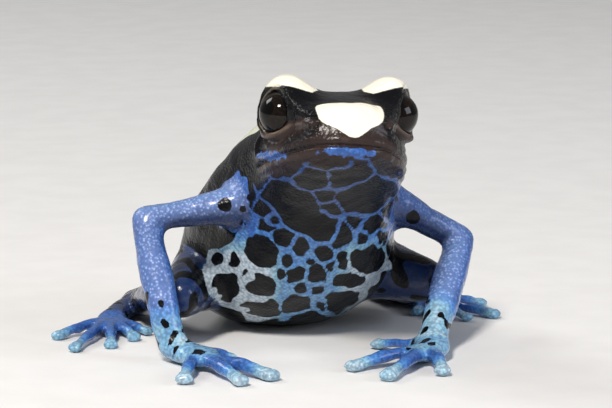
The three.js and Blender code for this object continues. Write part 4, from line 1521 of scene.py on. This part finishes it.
@dataclass
class Studio:
    """Camera, pale floor and soft light."""

    plane: ViewPlane = field(default_factory=ViewPlane)
    lens: float = 205.9
    sensor: float = 36.0
    aim: Place = (0, 0, 0.015)
    floor_half: float = 4.0
    floor_drop_mm: float = 0.02
    sky: str = "#e9e9ea"
    sky_strength: float = 0.30
    lamps: tuple[Lamp, ...] = (
        Lamp("key", (-0.22, -0.30, 0.42), 0.09, 2.9, "#fff8f0"),
        Lamp("fill", (0.40, -0.30, 0.22), 0.24, 1.0, "#e8f0ff"),
        Lamp("back", (-0.30, 0.30, 0.40), 0.20, 1.0, "#ffffff"),
    )

    def camera(self) -> None:
        """Sets the camera where the pattern plane's lines meet."""
        data = bpy.data.cameras.new("camera")
        data.lens, data.sensor_width = self.lens, self.sensor
        data.clip_start, data.clip_end = 0.01, 20.0
        made = bpy.data.objects.new("camera", data)
        bpy.context.scene.collection.objects.link(made)
        rows = [Vector(self.plane.right), Vector(self.plane.up), -Vector(self.plane.way)]
        turn = Matrix([r.normalized() for r in rows]).transposed().to_4x4()
        made.matrix_world = Matrix.Translation(Vector((self.plane.eye_point + ORIGIN) * MM)) @ turn
        bpy.context.scene.camera = made

    def light(self, lamp: Lamp) -> None:
        """Hangs a lamp, turned to the animal's middle."""
        data = bpy.data.lights.new(lamp.name, "AREA")
        data.size, data.energy, data.color = lamp.size, lamp.power, linear(lamp.colour)[:3]
        made = bpy.data.objects.new(lamp.name, data)
        bpy.context.scene.collection.objects.link(made)
        made.location = lamp.place
        made.rotation_euler = (Vector(self.aim) - Vector(lamp.place)).to_track_quat("-Z", "Y").to_euler()

    def build(self) -> None:
        """Floor, lamps and sky."""
        side = self.floor_half
        corners = np.array([[-side, -side, 0], [side, -side, 0], [side, side, 0], [-side, side, 0]])
        corners = corners / MM - ORIGIN
        corners[:, 2] = -self.floor_drop_mm
        floor = new_object("studio_floor", corners, np.array([[0, 1, 2, 3]]), smooth=False)
        floor.data.materials.append(StudioPaper().material())
        for lamp in self.lamps:
            self.light(lamp)
        bpy.context.scene.view_settings.view_transform = "Standard"
        world = bpy.data.worlds.new("studio")
        bpy.context.scene.world = world
        world.use_nodes = True
        background = world.node_tree.nodes["Background"]
        background.inputs["Color"].default_value = linear(self.sky)
        background.inputs["Strength"].default_value = self.sky_strength


def main() -> None:
    """Builds the studio and the animal, and reports each piece."""
    logging.basicConfig(level=logging.INFO, format="%(message)s")
    studio = Studio()
    studio.camera()
    skin = Skin().build()
    LOG.info("skin: %d points, %d faces", len(skin.data.vertices), len(skin.data.polygons))
    for eye in Eyes().build():
        LOG.info("%s: %d points", eye.name, len(eye.data.vertices))
    studio.build()


if __name__ == "__main__":
    main()
